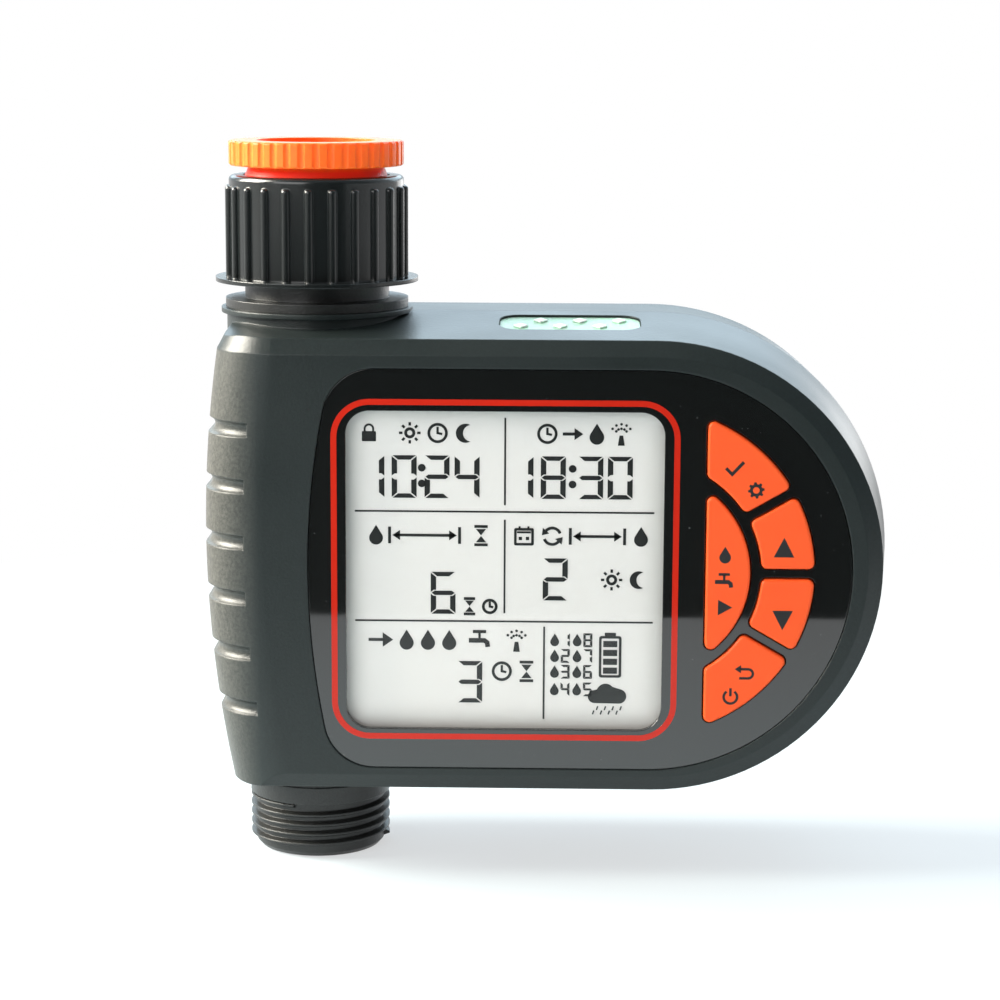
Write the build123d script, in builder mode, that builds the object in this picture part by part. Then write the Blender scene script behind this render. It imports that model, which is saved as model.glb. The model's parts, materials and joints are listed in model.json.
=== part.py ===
from build123d import *
from math import acos, atan, cos, pi, radians, sin, sqrt, tan
import os

os.makedirs("parts", exist_ok=True)

# Drip irrigation timer: a battery case beside a motor-driven ball valve.
# The origin is on the water axis at the mouth of the inlet. +Z points up the
# water axis, -Y is the display side, and +X runs from the water axis to the keys.
# All lengths are millimetres.

# ---------- driving dimensions ----------

# case
case_top = -30.6
case_bottom = -117.3
case_left = -23.0
round_end_x = 61.2
outline_corner_r = 13.0
parting_y = -1.0
front_y = -24.0
rear_y = 20.0
front_bevel_depth = 1.5
front_bevel_width = 2.75
front_draft = 2.9
rear_draft = 0.45
rear_edge_r = 2.4
wall = 2.2
rear_inner_y = rear_y - wall

# grip column on the left
grip_left = -19.2
grip_corner_r = 11.2
grip_bulge_r = 224.0
grip_bulge_z = -69.0
grip_pitch = 10.07
grip_groove_r = 1.45
grip_groove_out = 0.35
grip_groove_fade = 0.5
grip_groove_sweep = 70.0
corner_band_height = 8.0
corner_band_out = 0.02

# boss where the water neck enters the case
boss_r = 16.4
boss_rim_r = 17.4
boss_top = -30.0
boss_rim_height = 0.9

# front panel and display
panel_recess = 1.4
panel_thickness = 1.2
panel_top = -38.6
panel_bottom = -110.3
panel_round_x = 60.25
panel_left = 0.1
panel_left_arc_r = 146.0
panel_corner_r = 9.0
front_wall_back = -20.6
window_x = 34.8
window_z = -74.6
window_width = 56.0
window_height = 57.2
window_corner_r = 4.2

# keys
key_centre = (60.1, -74.4)
key_outer_r = 29.3
key_inner_r = 20.0
key_manual_r = 18.0
key_left = 70.3
key_gap = 1.9
key_corner_r = 1.1
key_top = -24.8
key_hole_gap = 0.25
key_lip = 0.7

# circuit board
board_back = -13.6
board_thickness = 1.6
board_front = board_back - board_thickness

# water parts
thread_pitch = 25.4 / 14
thread_foot = 0.62
thread_crest = 0.16
ball_z = -86.0
ball_r = 9.0
ball_bore_r = 5.5
chamber_r = 10.4
inlet_bore_r = 7.6
tube_r = 12.8
neck_r = 13.1
outlet_land_r = 13.05
outlet_core_r = 11.95
outlet_end = -131.0
outlet_land_top = -117.6
outlet_land_bottom = -120.8
neck_end = -19.6

# inlet adapter and nut
adapter_r = 15.8
adapter_ring = 4.5
adapter_end = -16.8
nut_r = 15.85
nut_rib_r = 0.8
nut_top = -6.2
nut_bottom = -25.3
nut_flange_r = 18.4
nut_flange = 0.8

# gear train: module, centres along Z from the ball up to the motor
gear_module = 0.5
wheel_teeth = 40
pinion_teeth = 10
centre_distance = gear_module * (wheel_teeth + pinion_teeth) / 2
wheel_b_z = ball_z + centre_distance
wheel_a_z = wheel_b_z + centre_distance
motor_z = wheel_a_z + centre_distance
pin_r = 0.99
gearbox_x = 15.5
gearbox_cover_x = 30.2
gearbox_plate = 1.5
gearbox_half_width = 12.0
gearbox_low = -98.5
gearbox_high = -44.6

# battery box in the rear case
pocket_low_x = 39.0
pocket_high_x = 87.4
pocket_low_z = -96.2
pocket_high_z = -72.4
pocket_floor = 5.4
cell_r = 5.2
cell_y = 11.0
cell_length = 43.5
cover_thickness = 1.8

# screws that join the two case shells, as (x, z)
case_screw_spots = [(20, -38.6), (66, -38.6), (98, -73.95), (66, -109.4), (20, -109.4)]
board_screw_spots = [(1.2, -48), (1.2, -101), (69, -43.4), (70, -105.2)]

case_mid_z = (case_top + case_bottom) / 2
case_half_height = (case_top - case_bottom) / 2


# ---------- helpers ----------

def facing(y):
    # a plane at depth y that faces the display side; its extrusions go towards -Y
    return Plane.XZ.offset(-y)


def across(x):
    # a plane at x that faces +X; its local axes are Y and Z
    return Plane.YZ.offset(x)


def save(piece, name):
    piece.part.label = name
    export_step(piece.part, f"parts/{name}.step")


def ring(outer_r, inner_r, low_z, high_z):
    # a plain ring on the water axis
    with BuildPart() as piece:
        with BuildSketch(Plane.XY.offset(low_z)):
            Circle(outer_r)
            if inner_r:
                Circle(inner_r, mode=Mode.SUBTRACT)
        extrude(amount=high_z - low_z)
    return piece.part


def thread_ridge(root_r, crest_r, start_z, turns):
    # one right-hand helical ridge that stands on root_r, outwards or inwards
    sink = 0.15 if crest_r > root_r else -0.15
    reach = crest_r - root_r
    with BuildPart() as ridge:
        with BuildLine() as path:
            Helix(pitch=thread_pitch, height=thread_pitch * turns, radius=root_r, center=(0, 0, start_z))
        with BuildSketch(Plane(origin=path.line @ 0, x_dir=(1, 0, 0), z_dir=path.line % 0)):
            with BuildLine():
                Polyline((-sink, -thread_foot), (reach, -thread_crest), (reach, thread_crest),
                         (-sink, thread_foot), close=True)
            make_face()
        sweep(path=path.line, is_frenet=True)
    return ridge.part


def case_outline(y, inset):
    # the outline seen from the front: square corners on the left, a half round on the right
    with BuildSketch(facing(y)) as outline:
        with BuildLine():
            Line((case_left, case_bottom), (case_left, case_top))
            Line((case_left, case_top), (round_end_x, case_top))
            ThreePointArc((round_end_x, case_top), (round_end_x + case_half_height, case_mid_z),
                          (round_end_x, case_bottom))
            Line((round_end_x, case_bottom), (case_left, case_bottom))
        make_face()
        fillet(outline.vertices().group_by(Axis.X)[0], outline_corner_r)
        if inset:
            offset(amount=-inset)
    return outline.sketch


def grip_shape(inset):
    # the rounded left column: its plan turned about a far axis, so that the side bulges
    left = grip_left + inset
    low_y = front_y + inset
    high_y = rear_y - inset
    turn_axis = Axis((grip_left + grip_bulge_r, 0, grip_bulge_z), (0, 1, 0))
    with BuildPart() as shape:
        with BuildSketch(Plane.XY.offset(grip_bulge_z)) as plan:
            with Locations(((left + 12) / 2, (low_y + high_y) / 2)):
                Rectangle(12 - left, high_y - low_y)
            fillet(plan.vertices().group_by(Axis.X)[0], grip_corner_r - inset)
        revolve(axis=turn_axis, revolution_arc=17)
        with BuildSketch(Plane.XY.offset(grip_bulge_z)):
            add(plan.sketch)
        revolve(axis=turn_axis.reverse(), revolution_arc=17)
        with BuildSketch(Plane.XY.offset(case_bottom - 5)):
            with Locations((55, (low_y + high_y) / 2)):
                Rectangle(110, high_y - low_y)
        extrude(amount=case_top - case_bottom + 10)
    return shape.part


def case_block(stations, inset):
    # the case between outlines, each given as (depth, inset), with the grip's shape
    with BuildPart() as block:
        loft(sections=[case_outline(y, step) for y, step in stations], ruled=True)
        add(grip_shape(inset), mode=Mode.INTERSECT)
    return block.part


def corner_plan(z, left, inset):
    # the plan of the column's front corner, open to the right and to the rear
    low_x = left - corner_band_out + inset
    low_y = front_y - corner_band_out + inset
    with BuildSketch(Plane.XY.offset(z)) as plan:
        with Locations(((low_x + 60) / 2, (low_y + 40) / 2)):
            Rectangle(60 - low_x, 40 - low_y)
        fillet(plan.vertices().group_by(Axis.X)[0].sort_by(Axis.Y)[0], grip_corner_r - inset)
    return plan.sketch


def corner_band():
    # what is cut away so that the front bevel runs on around the column's top corner
    low_z = case_top - front_draft - front_bevel_width
    left = grip_left + grip_bulge_r - sqrt(grip_bulge_r ** 2 - (low_z - grip_bulge_z) ** 2)
    slope = front_bevel_depth / front_bevel_width
    with BuildPart() as band:
        with BuildSketch(Plane.XY.offset(low_z)):
            with Locations((-20, -10)):
                Rectangle(60, 80)
        extrude(amount=corner_band_height)
        low_plan = corner_plan(low_z, left, 0)
        high_plan = corner_plan(low_z + corner_band_height, left, corner_band_height * slope)
        loft(sections=[low_plan, high_plan], ruled=True, mode=Mode.SUBTRACT)
    return band.part


def grip_groove(z):
    # a scooped groove around the grip that gets shallower towards its two square ends
    rise = grip_bulge_r - sqrt(grip_bulge_r ** 2 - (z - grip_bulge_z) ** 2)
    side_x = grip_left - grip_groove_out + rise
    turn_r = grip_corner_r + grip_groove_out + grip_groove_fade
    front_turn_y = front_y + grip_corner_r
    rear_turn_y = rear_y - grip_corner_r
    with BuildPart() as groove:
        with BuildLine(Plane.XY.offset(z)) as path:
            CenterArc((side_x + turn_r, front_turn_y), turn_r, 180, grip_groove_sweep)
            Line((side_x, front_turn_y), (side_x, rear_turn_y))
            CenterArc((side_x + turn_r, rear_turn_y), turn_r, 180 - grip_groove_sweep, grip_groove_sweep)
        start = path.wires()[0]
        with BuildSketch(Plane(origin=start @ 0, z_dir=start % 0)):
            Circle(grip_groove_r)
        sweep(path=start)
    return groove.part


def involute(angle):
    return tan(angle) - angle


def tooth_flank(teeth, root_r, tip_r):
    # half the width of a tooth, as an angle, at a few radii from its root to its tip
    pitch_r = gear_module * teeth / 2
    pressure = radians(20)
    base_r = pitch_r * cos(pressure)
    backlash = 0.05
    half_width = pi / (2 * teeth) - backlash / pitch_r + involute(pressure)
    flank = [(root_r, half_width)]
    steps = 4
    for step in range(steps + 1):
        low_r = max(base_r, root_r) * 1.0005
        radius = low_r + (tip_r - low_r) * step / steps
        flank.append((radius, half_width - involute(acos(base_r / radius))))
    return flank


def gear_face(teeth, root_r, tip_r):
    # the outline of a spur gear, with one tooth on its first local axis
    points = []
    flank = tooth_flank(teeth, root_r, tip_r)
    for tooth in range(teeth):
        middle = 2 * pi * tooth / teeth
        for radius, half_angle in flank:
            points.append((radius * cos(middle - half_angle), radius * sin(middle - half_angle)))
        for radius, half_angle in reversed(flank):
            points.append((radius * cos(middle + half_angle), radius * sin(middle + half_angle)))
    with BuildLine() as outline:
        Polyline(*points, close=True)
    return make_face(outline.edges(), mode=Mode.PRIVATE)


wheel_pitch_r = gear_module * wheel_teeth / 2
pinion_pitch_r = gear_module * pinion_teeth / 2
wheel_face = gear_face(wheel_teeth, wheel_pitch_r - 0.7, wheel_pitch_r + 0.3)
pinion_face = gear_face(pinion_teeth, pinion_pitch_r - 0.55, pinion_pitch_r + 0.5)


# ---------- keys: their outlines are shared by the keys, the panel and the front case ----------

with BuildSketch() as key_field:
    with Locations(key_centre):
        Circle(key_outer_r)
        Circle(key_inner_r, mode=Mode.SUBTRACT)
        Circle(key_manual_r)
    with Locations((key_left - key_outer_r, key_centre[1])):
        Rectangle(2 * key_outer_r, 2 * key_outer_r + 2, mode=Mode.SUBTRACT)
    for angle in (-30, 0, 30):
        middle_r = (key_outer_r + key_inner_r) / 2
        gap_x = key_centre[0] + middle_r * cos(radians(angle))
        gap_z = key_centre[1] + middle_r * sin(radians(angle))
        with Locations(Location((gap_x, gap_z), angle)):
            Rectangle(key_outer_r - key_inner_r + 1.5, key_gap, mode=Mode.SUBTRACT)
    fillet(key_field.vertices(), key_corner_r)

key_names = ["key_cancel", "key_down", "key_manual", "key_up", "key_confirm"]
key_faces = key_field.sketch.faces().sort_by(Axis.Y)

with BuildSketch() as key_holes:
    for face in key_faces:
        add(face)
    offset(amount=key_hole_gap)


def key_spot(face):
    # the middle of a key, where its stub presses the switch
    middle = face.center()
    return (middle.X, middle.Y)


for name, face in zip(key_names, key_faces):
    with BuildPart() as key:
        with BuildSketch(facing(front_wall_back + 0.2)):
            add(face)
        extrude(amount=front_wall_back + 0.2 - key_top)
        fillet(key.faces().sort_by(Axis.Y)[0].edges(), 0.45)
        with BuildSketch(facing(front_wall_back + 1.0)):
            add(face)
            offset(amount=key_lip)
        extrude(amount=0.8)
        with BuildSketch(facing(front_wall_back + 2.4)):
            with Locations(key_spot(face)):
                Circle(1.6)
        extrude(amount=1.4)
    save(key, name)


# ---------- front panel with the display window and the key holes ----------

panel_mid_z = (panel_top + panel_bottom) / 2
panel_half_height = (panel_top - panel_bottom) / 2


def panel_outline(plane, gap):
    # the panel: a gently curved left edge and a half round on the right
    rise = panel_left_arc_r - sqrt(panel_left_arc_r ** 2 - panel_half_height ** 2)
    with BuildSketch(plane) as outline:
        with BuildLine():
            ThreePointArc((panel_left + rise, panel_bottom), (panel_left, panel_mid_z),
                          (panel_left + rise, panel_top))
            Line((panel_left + rise, panel_top), (panel_round_x, panel_top))
            ThreePointArc((panel_round_x, panel_top), (panel_round_x + panel_half_height, panel_mid_z),
                          (panel_round_x, panel_bottom))
            Line((panel_round_x, panel_bottom), (panel_left + rise, panel_bottom))
        make_face()
        fillet(outline.vertices().group_by(Axis.X)[0], panel_corner_r)
        if gap:
            offset(amount=gap)
    return outline.sketch


panel_back = front_y + panel_recess

with BuildPart() as front_panel:
    with BuildSketch(facing(panel_back)):
        add(panel_outline(facing(panel_back), 0))
    extrude(amount=panel_thickness)
    with BuildSketch(facing(panel_back)):
        with Locations((window_x, window_z)):
            RectangleRounded(window_width, window_height, window_corner_r)
        add(key_holes.sketch)
    extrude(amount=panel_thickness, mode=Mode.SUBTRACT)
save(front_panel, "front_panel")


# ---------- display stack ----------

lens_width = window_width + 5.4
lens_height = window_height + 5.4
glass_width = window_width + 2.6
glass_height = window_height + 2.6
lens_back = panel_back + 1.0
glass_front = lens_back + 0.2
glass_back = glass_front + 2.0
holder_wall = 1.5
holder_back = board_front - 0.1
light_back = holder_back - 1.3
zebra_offset = glass_height / 2 - 1.4

with BuildPart() as display_lens:
    with BuildSketch(facing(lens_back)):
        with Locations((window_x, window_z)):
            RectangleRounded(lens_width - 0.2, lens_height - 0.2, window_corner_r)
    extrude(amount=lens_back - panel_back)
save(display_lens, "display_lens")

with BuildPart() as lcd_glass:
    with BuildSketch(facing(glass_back)):
        with Locations((window_x, window_z)):
            Rectangle(glass_width, glass_height)
    extrude(amount=glass_back - glass_front)
save(lcd_glass, "lcd_glass")

with BuildPart() as lcd_backlight:
    with BuildSketch(facing(light_back)):
        with Locations((window_x, window_z)):
            Rectangle(glass_width - 1, 2 * zebra_offset - 2.4)
    extrude(amount=light_back - glass_back - 0.05)
save(lcd_backlight, "lcd_backlight")

with BuildPart() as zebra_strips:
    with BuildSketch(facing(board_front)):
        with Locations((window_x, window_z + zebra_offset), (window_x, window_z - zebra_offset)):
            Rectangle(50, 1.8)
    extrude(amount=board_front - glass_back)
save(zebra_strips, "zebra_strips")

with BuildPart() as lcd_holder:
    with BuildSketch(facing(holder_back)):
        with Locations((window_x, window_z)):
            Rectangle(glass_width + 2 * holder_wall, glass_height + 2 * holder_wall)
    extrude(amount=holder_back - front_wall_back - 0.1)
    with BuildSketch(facing(light_back + 0.05)):
        with Locations((window_x, window_z)):
            Rectangle(glass_width + 0.1, glass_height + 0.1)
    extrude(amount=6, mode=Mode.SUBTRACT)
    with BuildSketch(facing(holder_back)):
        with Locations((window_x, window_z + zebra_offset), (window_x, window_z - zebra_offset)):
            Rectangle(50.2, 2.0)
    extrude(amount=3, mode=Mode.SUBTRACT)
save(lcd_holder, "lcd_holder")


# ---------- circuit board and what is soldered to it ----------

board_half_height = 34.4
board_round_x = 60.3
board_left = -2.0

with BuildPart() as circuit_board:
    with BuildSketch(facing(board_back)):
        with Locations(((board_left + board_round_x) / 2, key_centre[1])):
            Rectangle(board_round_x - board_left, 2 * board_half_height)
        with Locations((board_round_x, key_centre[1])):
            Circle(board_half_height)
        with Locations(*case_screw_spots):
            Circle(4.0, mode=Mode.SUBTRACT)
        with Locations(*board_screw_spots):
            Circle(1.1, mode=Mode.SUBTRACT)
    extrude(amount=board_thickness)
save(circuit_board, "circuit_board")

with BuildPart() as key_switches:
    with BuildSketch(facing(board_front)):
        with Locations(*[key_spot(face) for face in key_faces]):
            Rectangle(4.4, 4.4)
    extrude(amount=1.5)
    with BuildSketch(facing(board_front - 1.5)):
        with Locations(*[key_spot(face) for face in key_faces]):
            Circle(1.2)
    extrude(amount=0.5)
save(key_switches, "key_switches")

with BuildPart() as control_chip:
    with BuildSketch(facing(board_back + 1.4)):
        with Locations((47, -88)):
            Rectangle(10, 10)
    extrude(amount=1.4)
save(control_chip, "control_chip")

with BuildPart() as board_components:
    with BuildSketch(facing(board_back + 2.6)):
        with Locations((62, -92), (62, -84)):
            Rectangle(4.0, 2.4)
        with Locations((70, -90), (77, -90)):
            Circle(2.5)
    extrude(amount=2.6)
save(board_components, "board_components")

with BuildPart() as lead_socket:
    with BuildSketch(facing(board_back + 5.0)):
        with Locations((66, -62)):
            Rectangle(12, 5)
    extrude(amount=5.0)
    with BuildSketch(facing(board_back + 5.0)):
        with Locations((66, -62)):
            Rectangle(10, 3)
    extrude(amount=3.6, mode=Mode.SUBTRACT)
save(lead_socket, "lead_socket")

with BuildPart() as board_screws:
    with BuildSketch(facing(board_back + 0.6)):
        with Locations(*board_screw_spots):
            Circle(1.9)
    extrude(amount=0.6)
    with BuildSketch(facing(board_back + 0.6)):
        with Locations(*board_screw_spots):
            Rectangle(2.2, 0.5)
            Rectangle(0.5, 2.2)
    extrude(amount=0.35, mode=Mode.SUBTRACT)
    with BuildSketch(facing(board_back)):
        with Locations(*board_screw_spots):
            Circle(0.95)
    extrude(amount=5.6)
save(board_screws, "board_screws")


# ---------- rain sensor under the top wall ----------

rain_x = 46.1
rain_y = -9.6
rain_width = 25.3
rain_depth = 10.8
rain_corner_r = 3.6
rain_recess = 0.4
rain_flange = 0.85
rain_flange_edge = 1.5
rain_stud = 1.8
rain_gap = 0.1
rain_seat = 2.25
rain_board_y = -12.4
rain_board_low = -39.2
rain_board_high = -38.2
rain_stud_spots = [(-8.8, -2), (-1.75, -2), (5.3, -2), (-5.3, 2), (1.75, 2), (8.8, 2)]

# the window lies parallel to the sloping top wall
top_slope = atan(front_draft / (parting_y - front_y - front_bevel_depth))
rain_origin = (rain_x, rain_y, case_top - (parting_y - rain_y) * tan(top_slope))
rain_plane = Plane(origin=rain_origin, x_dir=(1, 0, 0), z_dir=(0, -sin(top_slope), cos(top_slope)))

with BuildPart() as rain_window:
    with BuildSketch(rain_plane.offset(-rain_seat)):
        RectangleRounded(rain_width - 2 * rain_gap, rain_depth - 2 * rain_gap, rain_corner_r)
    extrude(amount=rain_seat - rain_recess)
    with BuildSketch(rain_plane.offset(-rain_seat)):
        RectangleRounded(rain_width + 2 * rain_flange_edge, rain_depth + 2 * rain_flange_edge, rain_corner_r)
    extrude(amount=-rain_flange)
    with BuildSketch(rain_plane.offset(-rain_recess)):
        with Locations(*rain_stud_spots):
            Rectangle(rain_stud, rain_stud, rotation=45)
    extrude(amount=rain_recess)
save(rain_window, "rain_window")

with BuildPart() as rain_sensor_board:
    with BuildSketch(Plane.XY.offset(rain_board_low)):
        with Locations((rain_x, rain_board_y)):
            Rectangle(26, 8)
    extrude(amount=rain_board_high - rain_board_low)
save(rain_sensor_board, "rain_sensor_board")

with BuildPart() as rain_sensor_leds:
    with BuildSketch(Plane.XY.offset(rain_board_high)):
        with Locations((rain_x - 7, rain_board_y), (rain_x + 7, rain_board_y)):
            Circle(1.5)
    extrude(amount=1.2)
    fillet(rain_sensor_leds.edges().group_by(Axis.Z)[-1], 0.8)
save(rain_sensor_leds, "rain_sensor_leds")


# ---------- case shells ----------

front_stations = [
    (parting_y, 0),
    (front_y + front_bevel_depth, front_draft),
    (front_y, front_draft + front_bevel_width),
]
front_hollow = [
    (parting_y + 0.01, wall),
    (front_wall_back, front_draft * (parting_y - front_wall_back) / (parting_y - front_y) + wall),
]
rear_stations = [(parting_y, 0), (rear_y - rear_edge_r, rear_draft),
                 (rear_y - 0.7, rear_draft + 0.75), (rear_y, rear_draft + rear_edge_r)]
rear_hollow = [(parting_y - 0.01, wall), (rear_inner_y, rear_draft + wall)]
groove_levels = [-49.7 - grip_pitch * step for step in range(6)]
outlet_collar_top = -110.5

with BuildPart() as boss:
    with BuildSketch(Plane.XY.offset(boss_top - 10)):
        Circle(boss_r)
    extrude(amount=10 - boss_rim_height)
    with BuildSketch(Plane.XY.offset(boss_top - boss_rim_height)):
        Circle(boss_rim_r)
    extrude(amount=boss_rim_height)

with BuildPart() as outlet_collar:
    with BuildSketch(Plane.XY.offset(case_bottom + 1)):
        Circle(tube_r + 2.6)
    extrude(amount=outlet_collar_top - case_bottom - 1)

with BuildPart() as grip_grooves:
    for level in groove_levels:
        add(grip_groove(level))

water_way = ring(neck_r + 0.2, 0, -60, boss_top + 1)
outlet_way = ring(tube_r + 0.15, 0, case_bottom - 3, -60)

with BuildPart() as front_case:
    add(case_block(front_stations, 0))
    add(corner_band(), mode=Mode.SUBTRACT)
    add(case_block(front_hollow, wall), mode=Mode.SUBTRACT)
    add(boss.part)
    add(outlet_collar.part)
    with BuildSketch(facing(parting_y)):
        with Locations(*case_screw_spots):
            Circle(3.2)
    extrude(amount=parting_y - front_wall_back)
    with BuildSketch(facing(board_front)):
        with Locations(*board_screw_spots):
            Circle(2.3)
    extrude(amount=board_front - front_wall_back)
    add(water_way, mode=Mode.SUBTRACT)
    add(outlet_way, mode=Mode.SUBTRACT)
    with BuildSketch(rain_plane):
        RectangleRounded(rain_width, rain_depth, rain_corner_r)
    extrude(amount=wall + 1, both=True, mode=Mode.SUBTRACT)
    with BuildSketch(facing(parting_y)):
        with Locations(*case_screw_spots):
            Circle(1.45)
    extrude(amount=12, mode=Mode.SUBTRACT)
    with BuildSketch(facing(board_front)):
        with Locations(*board_screw_spots):
            Circle(1.0)
    extrude(amount=4.6, mode=Mode.SUBTRACT)
    with BuildSketch(facing(panel_back)):
        add(panel_outline(facing(panel_back), 0.12))
    extrude(amount=panel_recess + 1, mode=Mode.SUBTRACT)
    with BuildSketch(facing(lens_back)):
        with Locations((window_x, window_z)):
            RectangleRounded(lens_width, lens_height, window_corner_r)
    extrude(amount=2, mode=Mode.SUBTRACT)
    with BuildSketch(facing(front_wall_back + 0.01)):
        with Locations((window_x, window_z)):
            Rectangle(glass_width + 0.2, glass_height + 0.2)
        add(key_holes.sketch)
    extrude(amount=4, mode=Mode.SUBTRACT)
    add(grip_grooves.part, mode=Mode.SUBTRACT)
    split(bisect_by=Plane.XZ.offset(-parting_y), keep=Keep.TOP)
save(front_case, "front_case")

pocket_x = (pocket_low_x + pocket_high_x) / 2
pocket_z = (pocket_low_z + pocket_high_z) / 2
pocket_width = pocket_high_x - pocket_low_x
pocket_height = pocket_high_z - pocket_low_z
box_wall = 1.8
cover_width = pocket_width + 5.6
cover_height = pocket_height + 4.8
cover_seat = rear_y - cover_thickness
screw_head_y = 12.0

with BuildPart() as gasket_track:
    add(case_block([(parting_y, 0.6), (parting_y + 1.0, 0.6)], 0.6))
    add(case_block([(parting_y - 0.5, 1.6), (parting_y + 1.5, 1.6)], 1.6), mode=Mode.SUBTRACT)
    add(ring(boss_rim_r - 2, 0, -60, boss_top + 1), mode=Mode.SUBTRACT)
    add(ring(tube_r + 2.0, 0, case_bottom - 3, -60), mode=Mode.SUBTRACT)

with BuildPart() as rear_case:
    add(case_block(rear_stations, 0))
    add(corner_band(), mode=Mode.SUBTRACT)
    add(case_block(rear_hollow, wall), mode=Mode.SUBTRACT)
    add(boss.part)
    add(outlet_collar.part)
    with BuildSketch(facing(rear_inner_y)):
        with Locations(*case_screw_spots):
            Circle(4.4)
    extrude(amount=rear_inner_y - parting_y)
    with BuildSketch(facing(rear_inner_y)):
        with Locations((pocket_x, pocket_z)):
            Rectangle(pocket_width + 2 * box_wall, pocket_height + 2 * box_wall)
    extrude(amount=rear_inner_y - pocket_floor + box_wall)
    with BuildSketch(facing(rear_inner_y)):
        with Locations((pocket_x, pocket_z)):
            RectangleRounded(cover_width + 3, cover_height + 3, 4)
    extrude(amount=2.4)
    add(water_way, mode=Mode.SUBTRACT)
    add(outlet_way, mode=Mode.SUBTRACT)
    with BuildSketch(facing(rear_y + 1)):
        with Locations((pocket_x, pocket_z)):
            Rectangle(pocket_width, pocket_height)
    extrude(amount=rear_y + 1 - pocket_floor, mode=Mode.SUBTRACT)
    with BuildSketch(facing(rear_y + 1)):
        with Locations((pocket_x, pocket_z)):
            RectangleRounded(cover_width + 0.4, cover_height + 0.4, 3.2)
    extrude(amount=cover_thickness + 1, mode=Mode.SUBTRACT)
    with BuildSketch(facing(rear_y + 1)):
        with Locations(*case_screw_spots):
            Circle(3.0)
    extrude(amount=rear_y + 1 - screw_head_y, mode=Mode.SUBTRACT)
    with BuildSketch(facing(screw_head_y)):
        with Locations(*case_screw_spots):
            Circle(1.6)
    extrude(amount=screw_head_y - parting_y + 1, mode=Mode.SUBTRACT)
    add(gasket_track.part, mode=Mode.SUBTRACT)
    add(grip_grooves.part, mode=Mode.SUBTRACT)
    split(bisect_by=Plane.XZ.offset(-parting_y), keep=Keep.BOTTOM)
save(rear_case, "rear_case")

with BuildPart() as case_gasket:
    add(gasket_track.part)
save(case_gasket, "case_gasket")

with BuildPart() as case_screws:
    with BuildSketch(facing(screw_head_y + 2)):
        with Locations(*case_screw_spots):
            Circle(2.7)
    extrude(amount=2)
    fillet(case_screws.edges().group_by(Axis.Y)[-1], 0.7)
    with BuildSketch(facing(screw_head_y + 2)):
        with Locations(*case_screw_spots):
            Rectangle(3.2, 0.7)
            Rectangle(0.7, 3.2)
    extrude(amount=1.1, mode=Mode.SUBTRACT)
    with BuildSketch(facing(screw_head_y)):
        with Locations(*case_screw_spots):
            Circle(1.4)
    extrude(amount=22)
save(case_screws, "case_screws")


# ---------- battery cover, seal, cells and contacts ----------

with BuildPart() as battery_cover:
    with BuildSketch(facing(rear_y)):
        with Locations((pocket_x, pocket_z)):
            RectangleRounded(cover_width, cover_height, 3)
    extrude(amount=cover_thickness)
    with BuildSketch(facing(cover_seat)):
        with Locations((pocket_x, pocket_z)):
            Rectangle(pocket_width - 0.4, pocket_height - 0.4)
            Rectangle(pocket_width - 3.4, pocket_height - 3.4, mode=Mode.SUBTRACT)
    extrude(amount=1.5)
    with BuildSketch(facing(rear_y)):
        with Locations((pocket_x, pocket_high_z - 1.2)):
            SlotOverall(16, 4)
    extrude(amount=0.9, mode=Mode.SUBTRACT)
    with BuildSketch(facing(rear_y)):
        with Locations((pocket_x, pocket_z)):
            with GridLocations(0, 2.4, 1, 4):
                SlotOverall(26, 1.2)
    extrude(amount=0.4, mode=Mode.SUBTRACT)
save(battery_cover, "battery_cover")

with BuildPart() as battery_cover_seal:
    with BuildSketch(facing(cover_seat - 0.5)):
        with Locations((pocket_x, pocket_z)):
            Rectangle(pocket_width - 3.5, pocket_height - 3.5)
            Rectangle(pocket_width - 5.1, pocket_height - 5.1, mode=Mode.SUBTRACT)
    extrude(amount=0.9)
save(battery_cover_seal, "battery_cover_seal")

cell_low_z = pocket_z - cell_r - 0.4
cell_high_z = pocket_z + cell_r + 0.4

with BuildPart() as battery_cells:
    for cell_z, body_x, nub_x, nub_length in (
        (cell_high_z, pocket_low_x + 1.5, pocket_low_x + 0.5, 1.0),
        (cell_low_z, pocket_high_x - 1.5 - cell_length, pocket_high_x - 1.5, 1.0),
    ):
        with BuildSketch(across(body_x)):
            with Locations((cell_y, cell_z)):
                Circle(cell_r)
        extrude(amount=cell_length)
        with BuildSketch(across(nub_x)):
            with Locations((cell_y, cell_z)):
                Circle(1.9)
        extrude(amount=nub_length)
save(battery_cells, "battery_cells")

with BuildPart() as battery_contacts:
    for plate_x, spring_z, spring_x in (
        (pocket_low_x + 0.05, cell_low_z, pocket_low_x + 0.45),
        (pocket_high_x - 0.45, cell_high_z, pocket_high_x - 0.45),
    ):
        with BuildSketch(across(plate_x)):
            with Locations((cell_y, pocket_z)):
                Rectangle(8, pocket_height - 3)
        extrude(amount=0.4)
        reach = 2.3 if plate_x < pocket_x else -2.3
        with BuildLine() as coil:
            Helix(pitch=0.9, height=abs(reach), radius=2.8, center=(spring_x, cell_y, spring_z),
                  direction=(reach, 0, 0))
        with BuildSketch(Plane(origin=coil.line @ 0, z_dir=coil.line % 0)):
            Circle(0.3)
        sweep(path=coil.line, is_frenet=True)
save(battery_contacts, "battery_contacts")


# ---------- inlet adapter: a serrated ring, a G1/2 thread inside and a G3/4 thread outside ----------

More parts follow.
